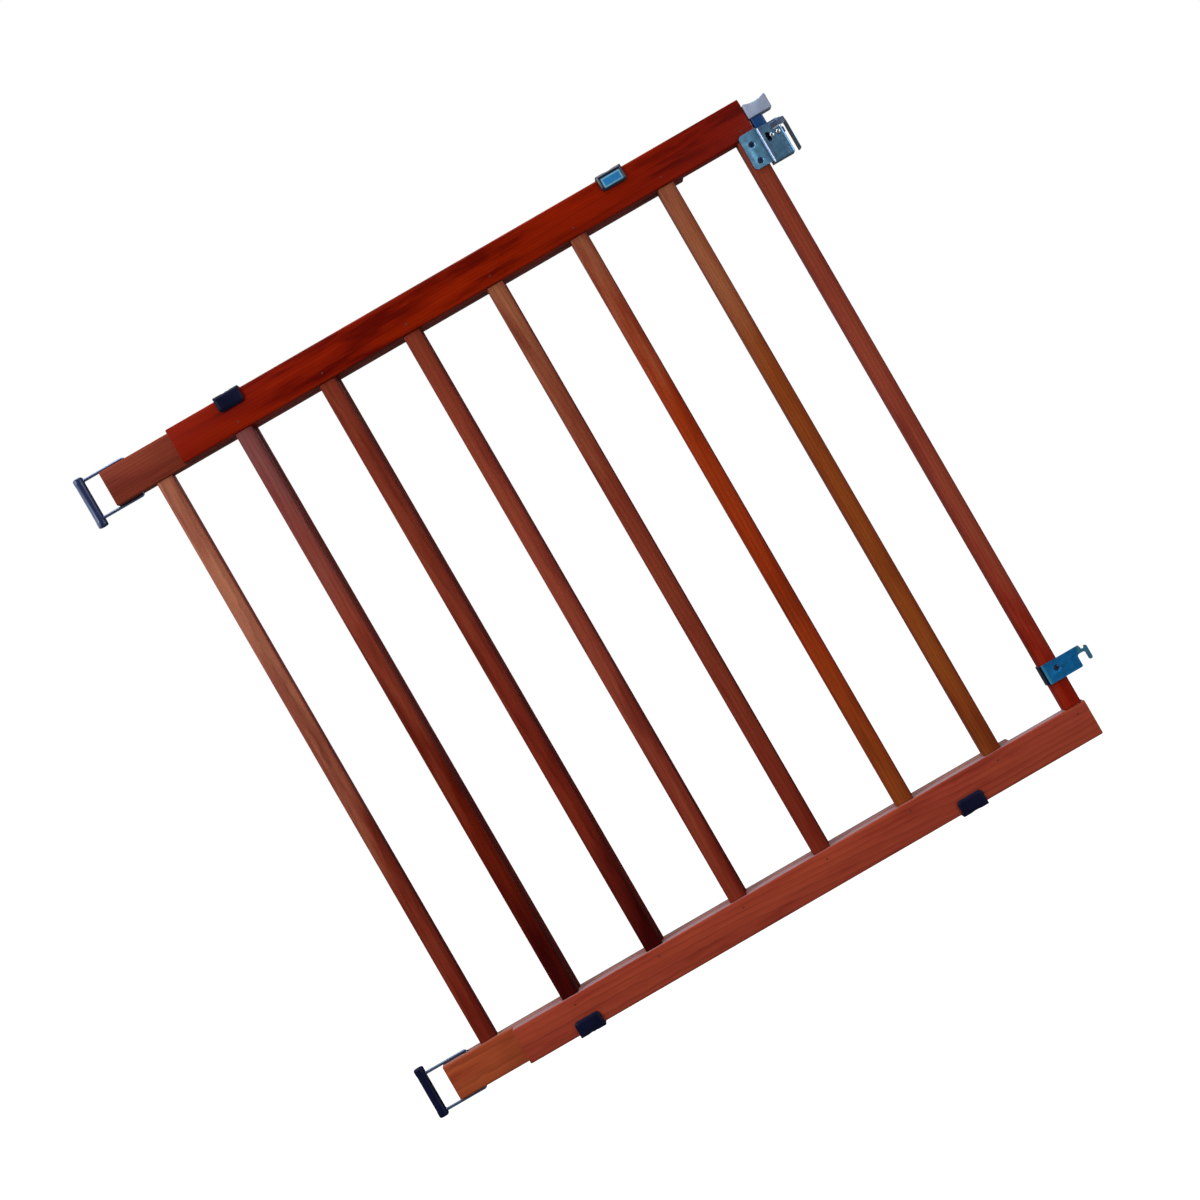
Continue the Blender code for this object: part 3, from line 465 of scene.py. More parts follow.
def makePlastic(name, colour, roughness=0.36, coat=0.0, texture=0.12, specular=0.3):
    material, tree, shader, place = startMaterial(name)
    grain = noise(tree, place, plastic["grainScale"], 2.0, 0.5)
    cloud = noise(tree, place, plastic["cloudScale"], 2.0, 0.5)
    light = tuple(min(1.0, part * plastic["lighter"] + plastic["lift"]) for part in colour)
    dark = tuple(part * plastic["darker"] for part in colour)
    tree.links.new(ramp(tree, cloud, [(0.3, dark), (0.7, light)]), shader.inputs["Base Color"])
    gloss = between(tree, cloud, roughness - plastic["glossier"], roughness + plastic["duller"])
    tree.links.new(gloss, shader.inputs["Roughness"])
    shader.inputs["Coat Weight"].default_value = coat
    shader.inputs["Specular IOR Level"].default_value = specular
    bump(tree, grain, shader, texture, plastic["reliefDeep"])
    return material


# patches over a finish, some of them painted highlights and painted shade: each fades from bare at a
# fade's first place to full at its second, and X is measured from the piece's left side
zincPatches = {
    "paleFlange": {"mode": "MULTIPLY", "share": 1.0, "tone": (1.5, 1.66, 1.6),
                   "fades": [("X", 0.0202, 0.0137)]},
    # painted highlight along the box's left bend
    "paintedFoldHighlight": {"share": 0.75, "tone": (0.30, 0.34, 0.44),
                   "fades": [("X", 0.0187, 0.0195), ("X", 0.0229, 0.0219)]},
    "hookBand": {"share": 0.7, "tone": (0.12, 0.13, 0.23),
                 "fades": [("X", 0.0312, 0.0322), ("Z", 0.6816, 0.6820)]},
    # painted highlight in a thin line under the hook band
    "paintedUndersideHighlight": {"share": 0.9, "tone": (0.75, 0.78, 0.84),
                        "fades": [("Z", 0.6803, 0.6807), ("Z", 0.6820, 0.6816), ("X", 0.0327, 0.0357)]},
    "tine": {"share": 0.8, "tone": (0.08, 0.085, 0.12), "fades": [("X", 0.0462, 0.0470)]},
}
hookPatches = {
    # painted highlight along the plate's left edge
    "paintedEdgeHighlight": {"share": 0.75, "tone": (0.13, 0.47, 0.66), "fades": [("X", 0.0052, 0.0034)]},
    # painted shade on the side wrapped round the stile
    "paintedWrapShade": {"share": 1.0, "tone": (0.002, 0.010, 0.045), "fades": [("X", 0.0026, 0.0018)]},
    "tine": {"share": 0.7, "tone": (0.10, 0.30, 0.38), "fades": [("X", 0.0400, 0.0420)]},
}
sleevePatches = {
    # painted highlight down the sleeve's left side
    "paintedSideHighlight": {"share": 0.6, "tone": (0.24, 0.31, 0.50), "fades": [("X", 0.0042, 0.0010)]},
}


def patchUp(material, node, patches):
    tree, spot, base, colour = startCoat(material)
    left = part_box(node)[0].x
    for patch in patches.values():
        share = patch["share"]
        for axis, bare, full in patch["fades"]:
            start = left if axis == "X" else 0
            fade = mapped(tree, spot[axis], start + bare, start + full)
            share = doMath(tree, "MULTIPLY", fade, share)
        colour = blendColours(tree, patch.get("mode", "MIX"), share, colour, patch["tone"])
    tree.links.new(colour, base)
    return material


finishes = {
    "zinc": makeSteel("zincSheet", (0.144, 0.315, 0.505)),
    "blueZinc": makeSteel("blueZincPlate", (0.012, 0.215, 0.55)),
    "wire": makeSteel("zincWire", (0.10, 0.14, 0.24), 0.3),
    "bright": makeSteel("brightSteel", (0.42, 0.45, 0.48), 0.34, 1.0, 0.05),
    "dark": makeSteel("darkScrew", (0.03, 0.04, 0.10), 0.35, 0.7),
    "brad": makeSteel("bradHead", (0.040, 0.007, 0.004), 0.6, 0.1),
    "navy": makePlastic("navyPlastic", (0.0016, 0.0024, 0.0165), 0.46, 0.0, 0.05, 0.08),
    "clipBlue": makePlastic("clipBlue", (0.014, 0.15, 0.36), 0.38, 0.05),
    "upperSleeve": makePlastic("upperSleevePlastic", (0.010, 0.020, 0.070), 0.34, 0.0, 0.04),
    "lowerSleeve": makePlastic("lowerSleevePlastic", (0.0016, 0.0030, 0.024), 0.42, 0.0, 0.04, 0.10),
    "bush": makePlastic("bushPlastic", (0.012, 0.012, 0.016), 0.45),
    "knob": makePlastic("knobPlastic", (0.243, 0.284, 0.39), 0.42),
    "neck": makePlastic("neckPlastic", (0.0036, 0.042, 0.15), 0.4),
}
patchUp(finishes["zinc"], "latch_housing", zincPatches)
patchUp(finishes["blueZinc"], "lower_hook_bracket", hookPatches)
patchUp(finishes["upperSleeve"], "upper_hinge_sleeve", sleevePatches)
print("finishes mixed")


# rails: long stained boards with eased edges, mortised for their uprights
railShape = {"ease": 0.0022, "endEase": 0.0010, "segments": 4, "pilot": 0.0018, "pilotLong": 0.030}
bush = {"bore": 0.0021, "body": 0.0027, "flange": 0.0010, "lip": 0.0003}
tenon = {"wide": 0.014, "deep": 0.009, "long": 0.014}
# stains, from the darkest to the palest
stains = {
    "oxblood": (0.04, 0.001, 0.001), "maroon": (0.12, 0.01, 0.003), "russet": (0.16, 0.017, 0.008),
    "scarlet": (0.17, 0.005, 0.0003), "ember": (0.21, 0.01, 0.0003), "garnet": (0.23, 0.01, 0.002),
    "cherry": (0.18, 0.03, 0.015), "rose": (0.22, 0.04, 0.022), "mauve": (0.17, 0.05, 0.05),
    "amber": (0.21, 0.045, 0.009), "flame": (0.27, 0.03, 0.005), "brick": (0.29, 0.043, 0.022),
    "tawny": (0.32, 0.06, 0.022), "honey": (0.25, 0.08, 0.04), "fawn": (0.34, 0.12, 0.07),
}
railStains = {
    "front_top_rail": ("scarlet", "ember", "scarlet"), "front_bottom_rail": ("brick", "brick"),
    "rear_top_rail": ("cherry", "cherry"), "rear_bottom_rail": ("tawny", "tawny"),
}
# tones of the painted highlight on each panel's bottom rail top face
topSheenTones = {"front_panel": (0.26, 0.17, 0.19), "rear_panel": (0.23, 0.13, 0.125)}
blotchy = {"front_top_rail": 1.0, "front_bottom_rail": 0.45, "rear_top_rail": 0.45,
           "rear_bottom_rail": 0.45}


def makeRail(node, body, uprights, seed):
    low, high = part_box(node)
    shape = block(low, high)
    roundOver(shape, edgesAlong(shape, 0), railShape["ease"], railShape["segments"])
    roundOver(shape, edgesAt(shape, 0, (low.x, high.x)), railShape["endEase"], 2)
    piece = makePiece(shape, node.replace("_rail", "_board"))
    isTop = "top" in node
    edge = low.z if isTop else high.z
    sockets = []
    for upright in uprights:
        middle = middleOf(upright)
        half = Vector((tenon["wide"] / 2 + fit, tenon["deep"] / 2 + fit, tenon["long"] + fit))
        centre = Vector((middle.x, middle.y, edge))
        sockets.append(block(centre - half, centre + half))
    isFront = body == "front_panel"
    fastened = node.split("_")[1] + ("_left" if isFront else "_right") + "_clip_screw"
    sockets.append(rod(middleOf(fastened), railShape["pilot"], railShape["pilotLong"], sides=16))
    if not isFront:
        level = "upper" if isTop else "lower"
        for bushNode in (name for name in nodes if name.startswith(level + "_bail_bush")):
            near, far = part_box(bushNode)
            middle = (near + far) / 2
            seat = (middle.x, middle.y, far.z if bushNode.endswith("top") else near.z)
            sockets.append(rod(middle, bush["body"] + fit, far.z - near.z + 2 * fit, sides=28))
            sockets.append(rod(seat, (far.x - near.x) / 2 + fit, 2 * (bush["flange"] + fit)))
    combine(piece, sockets)
    topSheen = None if isTop else (high.z, topSheenTones[body])
    tones = [stains[stain] for stain in railStains[node]]
    material = makeWood(node + "Wood", False, (low.x, high.x), tones, seed, topSheen, blotchy[node])
    return fitOut(piece, body, material, (node,))


# uprights: bars with rounded arrises, shouldered into the rails
barShape = {"ease": 0.0019, "segments": 4}
barStains = {        # foot to head
    "front_bar_1": ("oxblood", "maroon", "rose", "mauve"),
    "front_bar_2": ("oxblood", "russet", "cherry", "cherry"),
    "front_bar_3": ("russet", "rose", "rose", "cherry"),
    "front_bar_4": ("russet", "cherry", "cherry", "honey"),
    "front_bar_5": ("amber", "flame", "flame", "honey"),
    "front_bar_6": ("amber", "amber", "amber", "honey"),
    "latch_stile": ("garnet", "rose", "rose", "cherry"),
    "rear_bar_1": ("russet", "cherry", "fawn", "fawn"),
}
plainStains = ("maroon", "russet", "cherry")


def makeUpright(node, body, bottomRail, topRail, seed):
    near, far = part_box(node)
    middle = (near + far) / 2
    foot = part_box(bottomRail)[1].z + fit
    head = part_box(topRail)[0].z - fit
    shape = block((near.x, near.y, foot), (far.x, far.y, head))
    roundOver(shape, edgesAlong(shape, 2), barShape["ease"], barShape["segments"])
    for end, way in ((foot, -1), (head, 1)):
        faces = [face for face in shape.faces if abs(face.calc_center_median().z - end) < sameSpot]
        for length in (0, tenon["long"]):        # first the shoulder, then the tenon
            grown = bmesh.ops.extrude_face_region(shape, geom=faces)
            bmesh.ops.delete(shape, geom=faces, context="FACES")
            verts = [item for item in grown["geom"] if isinstance(item, bmesh.types.BMVert)]
            faces = [item for item in grown["geom"] if isinstance(item, bmesh.types.BMFace)]
            if length:
                bmesh.ops.translate(shape, vec=(0, 0, way * length), verts=verts)
            else:
                shrink = (tenon["wide"] / (far.x - near.x), tenon["deep"] / (far.y - near.y), 1)
                bmesh.ops.scale(shape, vec=shrink, verts=verts, space=Matrix.Translation(-middle))
    bmesh.ops.recalc_face_normals(shape, faces=shape.faces)
    name = "latch_upright" if node == "latch_stile" else node.replace("_bar_", "_upright_")
    tones = [stains[stain] for stain in barStains.get(node, plainStains)]
    material = makeWood(node + "Wood", True, (foot, head), tones, seed, sideShadeSpan=(near.x, far.x))
    return fitOut(makePiece(shape, name), body, material, (node,))


frontUprights = frontBars + ["latch_stile"]
makeRail("front_top_rail", "front_panel", frontUprights, 1.0)
makeRail("front_bottom_rail", "front_panel", frontUprights, 2.3)
makeRail("rear_top_rail", "rear_panel", rearBars, 3.1)
makeRail("rear_bottom_rail", "rear_panel", rearBars, 4.7)
for at, node in enumerate(frontUprights):
    makeUpright(node, "front_panel", "front_bottom_rail", "front_top_rail", 5.3 + 1.9 * at)
for at, node in enumerate(rearBars):
    makeUpright(node, "rear_panel", "rear_bottom_rail", "rear_top_rail", 21.4 + 2.3 * at)
print("rails and uprights made")


# brads: one through each tenon, a small head just proud of the rail
brad = {"radius": 0.0010, "dome": 0.00012, "deep": 0.0008, "inset": 0.0090}


def makeBrads(name, body, rails, uprights, faceY, facing):
    shape = bmesh.new()
    profile = [(0, brad["dome"]), (brad["radius"] * 0.6, brad["dome"] * 0.8), (brad["radius"], 0),
               (brad["radius"], -brad["deep"]), (0, -brad["deep"])]
    for railNode in rails:
        low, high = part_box(railNode)
        height = low.z + brad["inset"] if "top" in railNode else high.z - brad["inset"]
        for upright in uprights:
            place = Matrix.Translation((middleOf(upright).x, faceY, height))
            head = move(lathe(profile, 14), place @ facing)
            mesh = bpy.data.meshes.new("head")
            head.to_mesh(mesh)
            head.free()
            shape.from_mesh(mesh)
            bpy.data.meshes.remove(mesh)
    fitOut(makePiece(shape, name), body, finishes["brad"])


makeBrads("front_brads", "front_panel", ("front_top_rail", "front_bottom_rail"), frontUprights,
          gateFront, towardFront)
makeBrads("rear_brads", "rear_panel", ("rear_top_rail", "rear_bottom_rail"), rearBars,
          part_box("rear_top_rail")[1].y, towardBack)


# clips: moulded saddles over both rails' edges
clip = {"wall": 0.0026, "corner": 0.0042, "ease": 0.0005, "dip": 0.0006, "dipRadius": 0.026,
        "dipLong": 0.08, "flank": 0.0031, "fall": 0.0016, "past": 0.02, "open": 0.01,
        "rim": 0.0011, "padLeft": 0.0043, "padRight": 0.0040, "padFloor": 0.0030, "padTop": 0.0052,
        # the last two tones are a painted highlight rim and painted shade on the flanks
        "blur": 0.0013, "paintedRimHighlight": (0.16, 0.40, 0.54), "paintedFlankShade": (0.002, 0.004, 0.020)}


def paintPad(material, node):
    # a painted highlight rim round a blue pad, with painted shade on its flanks
    low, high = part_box(node)
    tree, spot, base, colour = startCoat(material)
    for inset, tone in ((0.0, clip["paintedRimHighlight"]), (-clip["rim"], clip["paintedFlankShade"])):
        outside = 0.0
        for axis, start, end in (("X", low.x + clip["padLeft"], high.x - clip["padRight"]),
                                 ("Z", low.z + clip["padFloor"], high.z - clip["padTop"])):
            before = mapped(tree, spot[axis], start + inset + clip["blur"], start + inset)
            after = mapped(tree, spot[axis], end - inset - clip["blur"], end - inset)
            outside = doMath(tree, "MAXIMUM", outside, doMath(tree, "MAXIMUM", before, after))
        colour = blendColours(tree, "MIX", outside, colour, tone)
    tree.links.new(colour, base)
    return material


paintPad(finishes["clipBlue"], "top_right_clip")
clipFinish = {"top_right_clip": "clipBlue"}


def makeClip(node, body):
    low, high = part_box(node)
    isTop = "top" in node
    openZ, roofZ = (low.z, high.z) if isTop else (high.z, low.z)
    up = 1 if isTop else -1
    shape = block(low, high)
    lower = [edge for edge in edgesAlong(shape, 1) if abs(edge.verts[0].co.z - openZ) < sameSpot]
    roundOver(shape, lower, clip["corner"], 6)
    middle = (low + high) / 2
    cheeks = [face for face in shape.faces if abs(face.normal.y) > 0.99]
    bmesh.ops.inset_individual(shape, faces=cheeks, thickness=clip["flank"], depth=0)
    pad = {vert for face in cheeks for vert in face.verts}
    for way in (-1, 1):
        skirt = [vert for vert in shape.verts if vert not in pad and (vert.co.y - middle.y) * way > 0]
        bmesh.ops.translate(shape, vec=(0, -way * clip["fall"], 0), verts=skirt)
    piece = makePiece(shape, node.replace("_clip", "_saddle"))
    roof = roofZ - up * clip["wall"]
    beyond = openZ - up * clip["open"]
    channel = block((low.x - clip["past"], low.y + clip["wall"], min(roof, beyond)),
                    (high.x + clip["past"], high.y - clip["wall"], max(roof, beyond)))
    dip = rod((middle.x, middle.y, roofZ + up * (clip["dipRadius"] - clip["dip"])), clip["dipRadius"],
              clip["dipLong"], towardFront, 96)
    combine(piece, [channel, dip])
    softenEdges(piece, clip["ease"], 3, 25)
    near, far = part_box(node + "_screw")
    hole = rod(((near.x + far.x) / 2, (near.y + far.y) / 2, roofZ), (far.x - near.x) / 4,
               clip["past"], sides=24)
    combine(piece, [hole])
    return fitOut(piece, body, finishes[clipFinish.get(node, "navy")], (node,))


for side, body in (("left", "front_panel"), ("right", "rear_panel")):
    for level in ("top", "bottom"):
        makeClip(f"{level}_{side}_clip", body)


# screws: pan heads on the clips, countersunk heads on the latch plates
screw = {"recess": 0.0038, "slot": 0.0008, "deep": 0.0011, "pitch": 0.0011, "point": 0.0012,
         "shank": 0.0015, "crown": 0.0020, "coneDeep": 0.0015, "plainUnderPan": 0.002,
         "plainUnderCone": 0.003}
panHead = [(0.35, 0.97), (0.65, 0.84), (0.87, 0.58), (0.98, 0.25)]        # shares of radius and crown


def crossRecess(size, top):
    half = size / 2
    arms = []
    for quarter in (0, 90):
        arm = block((-half, -screw["slot"] / 2, -screw["deep"]), (half, screw["slot"] / 2, 0.001))
        foot = [vert for vert in arm.verts if vert.co.z < 0]
        bmesh.ops.scale(arm, vec=(0.55, 0.7, 1), verts=foot)
        turn = Matrix.Rotation(math.radians(quarter), 4, "Z")
        arms.append(move(arm, Matrix.Translation((0, 0, top)) @ turn))
    return arms


def threaded(radius, length, start):
    # a shank whose ridges stand for the thread
    points = []
    turns = int((length - start) / screw["pitch"]) - 1
    for at in range(turns):
        height = -start - at * screw["pitch"]
        points += [(radius * 0.78, height), (radius, height - screw["pitch"] / 2)]
    return points + [(radius * 0.5, screw["point"] - length), (0, -length)]


def makeScrew(node, body, profile, shank, place, facing, material):
    piece = makePiece(lathe(profile + shank, 32), node.replace("screw", "fastener"))
    combine(piece, crossRecess(screw["recess"], profile[0][1]))
    piece.data.transform(Matrix.Translation(place) @ facing)
    return fitOut(piece, body, material, (node,))


for side, body in (("left", "front_panel"), ("right", "rear_panel")):
    for level, facing in (("top", Matrix.Identity(4)), ("bottom", upsideDown)):
        node = f"{level}_{side}_clip_screw"
        low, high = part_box(node)
        head, crown = (high.x - low.x) / 2, screw["crown"]
        seat = high.z - crown if level == "top" else low.z + crown
        dome = [(0, crown)] + [(head * out, crown * up) for out, up in panHead]
        dome += [(head, 0), (screw["shank"], 0)]
        shank = threaded(screw["shank"], high.z - low.z - crown, screw["plainUnderPan"])
        place = ((low.x + high.x) / 2, (low.y + high.y) / 2, seat)
        makeScrew(node, body, dome, shank, place, facing, finishes["dark"])
for node in ("latch_screw_1", "latch_screw_2", "hook_screw"):
    low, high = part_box(node)
    head = (high.x - low.x) / 2
    cone = [(0, -0.0001), (head * 0.93, 0), (head, -0.00012), (screw["shank"], -screw["coneDeep"])]
    shank = threaded(screw["shank"], high.y - low.y, screw["plainUnderCone"])
    place = ((low.x + high.x) / 2, low.y, (low.z + high.z) / 2)
    makeScrew(node, "front_panel", cone, shank, place, towardFront, finishes["dark"])

# the width lock screw has a taller knurled head with a driver slot
lock = {"knurls": 30, "knurlDepth": 0.00022, "headShare": 0.0045, "slot": 0.0010, "slotDeep": 0.0014,
        "slotReach": 0.005, "past": 0.001, "shank": 0.002, "sunk": 0.002}
low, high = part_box("width_lock_screw")
lockRadius = (high.x - low.x) / 2
lockPlace = Vector(((low.x + high.x) / 2, (low.y + high.y) / 2, low.z + lock["headShare"]))
knurled = []
for at in range(2 * lock["knurls"]):
    reach = lockRadius - (lock["knurlDepth"] if at % 2 else 0)
    angle = math.pi * at / lock["knurls"]
    knurled.append((lockPlace.x + reach * math.cos(angle), lockPlace.y + reach * math.sin(angle)))
lockHead = makePiece(extrudeUp(knurled, low.z, lock["headShare"]), "width_lock_fastener")
lockShank = rod((lockPlace.x, lockPlace.y, (lockPlace.z + high.z) / 2 - lock["sunk"] / 2),
                lock["shank"], high.z - lockPlace.z + lock["sunk"])
combine(lockHead, [lockShank], "UNION")
lockSlot = block((lockPlace.x - lock["slotReach"], lockPlace.y - lock["slot"] / 2, low.z - lock["past"]),
                 (lockPlace.x + lock["slotReach"], lockPlace.y + lock["slot"] / 2,
                  low.z + lock["slotDeep"]))
combine(lockHead, [lockSlot])
fitOut(lockHead, "front_panel", finishes["dark"], ("width_lock_screw",), 30)
print("clips and screws made")


# hinge bails: bent wire loops with plastic sleeves snapped over their upright side
bail = {"wire": 0.0016, "bend": 0.0024, "depth": 0.009}
sleeve = {"bore": 0.0019, "end": 0.0018, "waist": 0.0003, "ringFrom": 0.0055, "fade": 0.0020,
          "slitDeep": 0.02, "slitPast": 0.01}


def makeBail(side, rail):
    low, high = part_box(f"{side}_bail_wire")
    railLow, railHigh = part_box(rail)
    radius = bail["wire"]
    pivot = Vector(joints[f"{side}_bail_swing"]["pos_m"])
    left = low.x + radius
    top, foot = high.z - radius, low.z + radius
    corners = [(pivot.x, pivot.y, railHigh.z - bail["depth"]), (pivot.x, pivot.y, top), (left, pivot.y, top),
               (left, pivot.y, foot), (pivot.x, pivot.y, foot), (pivot.x, pivot.y, railLow.z + bail["depth"])]
    shape = tube(roundedPath(corners, bail["bend"], 10), radius, "bail", 6)
    fitOut(makePiece(shape, f"{side}_wire_loop"), f"{side}_bail", finishes["wire"],
           (f"{side}_bail_wire",), 50)
    makeSleeve(side, left, pivot.y)
    for level, edge, facing in (("top", railHigh.z, Matrix.Identity(4)), ("bottom", railLow.z, upsideDown)):
        makeBush(f"{side}_bail_bush_{level}", (pivot.x, pivot.y, edge), facing)


def makeSleeve(side, x, y):
    low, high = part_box(f"{side}_hinge_sleeve")
    radius, half, end = (high.y - low.y) / 2, (high.z - low.z) / 2, sleeve["end"]
    outer = [(radius - end + px, half - end + pz) for px, pz in arc((0, 0), end, 90, 0, 5)]
    ringTop = half - sleeve["ringFrom"]
    waist = radius - sleeve["waist"]
    groove = [(radius, ringTop), (radius - sleeve["waist"] / 3, ringTop - sleeve["fade"] / 2),
              (waist, ringTop - sleeve["fade"])]
    upper = outer + groove
    profile = upper + [(px, -pz) for px, pz in reversed(upper)]
    profile += [(sleeve["bore"], -half), (sleeve["bore"], half)]
    piece = makePiece(move(lathe(profile, 56, True), Matrix.Translation((x, y, (low.z + high.z) / 2))),
                      f"{side}_hinge_tube")
    slit = block((x, y - sleeve["bore"], low.z - sleeve["slitPast"]),
                 (x + sleeve["slitDeep"], y + sleeve["bore"], high.z + sleeve["slitPast"]))
    combine(piece, [slit])
    fitOut(piece, f"{side}_bail", finishes[f"{side}Sleeve"], (f"{side}_hinge_sleeve",), 45)


def makeBush(node, place, facing):
    low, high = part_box(node)
    flange, length = (high.x - low.x) / 2, high.z - low.z
    lip = bush["lip"]
    profile = [(bush["bore"] + lip, 0), (flange - lip, 0), (flange - lip * 0.3, -lip * 0.3), (flange, -lip),
               (flange, -bush["flange"]), (bush["body"], -bush["flange"]), (bush["body"], -length),
               (bush["bore"], -length), (bush["bore"], -lip)]
    shape = move(lathe(profile, 32, True), Matrix.Translation(place) @ facing)
    piece = makePiece(shape, node.replace("bush", "eyelet"))
    fitOut(piece, "rear_panel", finishes["bush"], (node,))


makeBail("upper", "rear_top_rail")
makeBail("lower", "rear_bottom_rail")
print("hinge bails made")


# latch housing: a folded box, a flange on the stile, and a sheet curled over into a tine
housing = {"sheet": 0.0015, "bend": 0.0030, "tightBend": 0.0018, "flangeTop": 0.6912,
           "flangeBottom": 0.6540, "flangeCorner": 0.004, "boxLeft": 0.0193, "boxRight": 0.0427,
           "boxTall": 0.0373, "windowWide": 0.0048, "windowTall": 0.0100, "windowX": 0.0265,
           "worksZ": 0.6765, "noseHalf": 0.00275, "rodHole": 0.0023, "rivetHole": 0.0014,
           "tabTop": 0.0047, "tabFloor": 0.0113, "tineSheet": 0.0018, "tineBend": 0.0060,
           "crest": 0.0018, "tineFront": -0.0205, "tineBack": -0.0085, "bandLeft": 0.0322,
           "bandProud": 0.0007, "bandFloor": 0.6812, "bandDrop": 0.0016, "bandCorner": 0.0018,
           "bandEdge": 0.0005, "soften": 0.00022, "boltPlay": 0.0003}
low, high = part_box("latch_housing")
boltLow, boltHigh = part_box("latch_bolt")
rodLow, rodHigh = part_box("plunger_rod")
rodX, rodY = (rodLow.x + rodHigh.x) / 2, (rodLow.y + rodHigh.y) / 2
sheet = housing["sheet"]
boxFront, boxBack = low.y, high.y
boxBottom = low.z
boxTop = boxBottom + housing["boxTall"]
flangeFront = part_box("latch_screw_1")[0].y

# the box is a folded hat section, closed by a top and a floor plate
bend, tight = housing["bend"], housing["tightBend"]
left, right = low.x + housing["boxLeft"], low.x + housing["boxRight"]
windowX = low.x + housing["windowX"]
leftBend = (left + bend, boxFront + bend)
rightBend = (right - tight, boxFront + tight)
outerLine = [(left, boxBack)] + arc(leftBend, bend, 180, 270, 9)
outerLine += arc(rightBend, tight, -90, 0, 9) + [(right, boxBack)]
innerLine = arc(rightBend, tight - sheet, 0, -90, 3) + arc(leftBend, bend - sheet, 270, 180, 6)
section = [(left + sheet, boxBack)] + outerLine + [(right - sheet, boxBack)] + innerLine
shell = makePiece(extrudeUp(section, boxBottom, boxTop - boxBottom), "latch_case")
combine(shell, [extrudeUp(outerLine, boxTop - sheet, sheet), extrudeUp(outerLine, boxBottom, sheet)], "UNION")

corner = housing["flangeCorner"]
flangeRight = left + sheet * 0.6
flange = [(flangeRight, housing["flangeBottom"]), (flangeRight, housing["flangeTop"])]
flange += arc((low.x + corner, housing["flangeTop"] - corner), corner, 90, 180, 8)
flange += arc((low.x + corner, housing["flangeBottom"] + corner), corner, 180, 270, 8)
curl = (high.x - housing["tineBend"], boxTop - housing["tineBend"] - sheet / 4)
inner = housing["tineBend"] - housing["tineSheet"]
crest = housing["crest"]        # how much deeper the hook is over the notch than at its tine
tine = [(right - sheet / 2, curl[1] + housing["tineBend"])]
tine += arc(curl, housing["tineBend"], 90, 0, 14)
tine += [(high.x, boxBottom), (high.x - housing["tineSheet"], boxBottom)]
tine += [(x, z - crest * (z - curl[1]) / inner) for x, z in arc(curl, inner, 0, 90, 14)]
tine += [(right - sheet / 2, curl[1] + inner - crest)]
combine(shell, [cutOut(flange, flangeFront, sheet)], "UNION")
combine(shell, [cutOut(tine, housing["tineFront"], housing["tineBack"] - housing["tineFront"])], "UNION")

band = block((low.x + housing["bandLeft"], boxFront - housing["bandProud"], housing["bandFloor"]),
             (high.x - housing["tineSheet"] / 2, boxFront + sheet, boxTop - housing["bandDrop"]))
roundOver(band, edgesAlong(band, 1), housing["bandCorner"], 5)
roundOver(band, edgesAt(band, 1, (boxFront - housing["bandProud"],)), housing["bandEdge"], 3)
combine(shell, [band], "UNION")

worksZ = housing["worksZ"]
tall = (housing["windowTall"] - housing["windowWide"]) / 2
window = arc((windowX, worksZ + tall), housing["windowWide"] / 2, 0, 180, 12)
window += arc((windowX, worksZ - tall), housing["windowWide"] / 2, 180, 360, 12)
noseLow, noseHigh = worksZ - housing["noseHalf"], worksZ + housing["noseHalf"]
play = housing["boltPlay"]


def countersink(node):
    # clears a countersunk head and its shank
    low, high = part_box(node)
    wide = (high.x - low.x) / 2 + 2 * fit
    profile = [(0, 0.001), (wide, 0.001), (wide, 0), (0.0018, -0.0018), (0.0018, -0.01), (0, -0.01)]
    place = Matrix.Translation(((low.x + high.x) / 2, low.y, (low.z + high.z) / 2))
    return move(lathe(profile), place @ towardFront)


holes = [cutOut(window, boxFront - sheet, 3 * sheet - 0.0002),
         block((right - 2 * sheet, boltLow.y - play, noseLow - play),
               (right + sheet, boltHigh.y + play, noseHigh + play)),
         rod((rodX, rodY, boxTop), housing["rodHole"], 4 * sheet)]
for name in ("guide_rivet_1", "guide_rivet_2"):
    place = (middleOf(name).x, boxFront, worksZ)
    holes.append(rod(place, housing["rivetHole"], 4 * sheet, towardFront, 16))
holes += [countersink("latch_screw_1"), countersink("latch_screw_2")]
holes.append(block((left - sheet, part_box("latch_back_plate")[0].y - fit, worksZ - housing["tabFloor"]),
                   (right + sheet, boxBack - fit / 3, worksZ - housing["tabTop"])))
combine(shell, holes)
softenEdges(shell, housing["soften"], 2, 40)
fitOut(shell, "front_panel", finishes["zinc"], ("latch_housing",), 20)
print("latch housing folded")


# latch works: rivets, bolt, rod, spring and the plates inside
rivet = {"crown": 0.0009, "shank": 0.0012, "share": 0.92}
for name in ("guide_rivet_1", "guide_rivet_2"):
    low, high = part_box(name)
    head, crown = (high.x - low.x) / 2 * rivet["share"], rivet["crown"]
    dome = [(head * math.sin(math.radians(a)), crown * math.cos(math.radians(a))) for a in range(0, 91, 10)]
    tail = low.y + crown - high.y
    shape = lathe(dome + [(rivet["shank"], 0), (rivet["shank"], tail), (0, tail)])
    move(shape, Matrix.Translation(((low.x + high.x) / 2, low.y + crown, (low.z + high.z) / 2)) @ towardFront)
    piece = makePiece(shape, name.replace("rivet", "stud"))
    fitOut(piece, "front_panel", finishes["bright"], (name,))

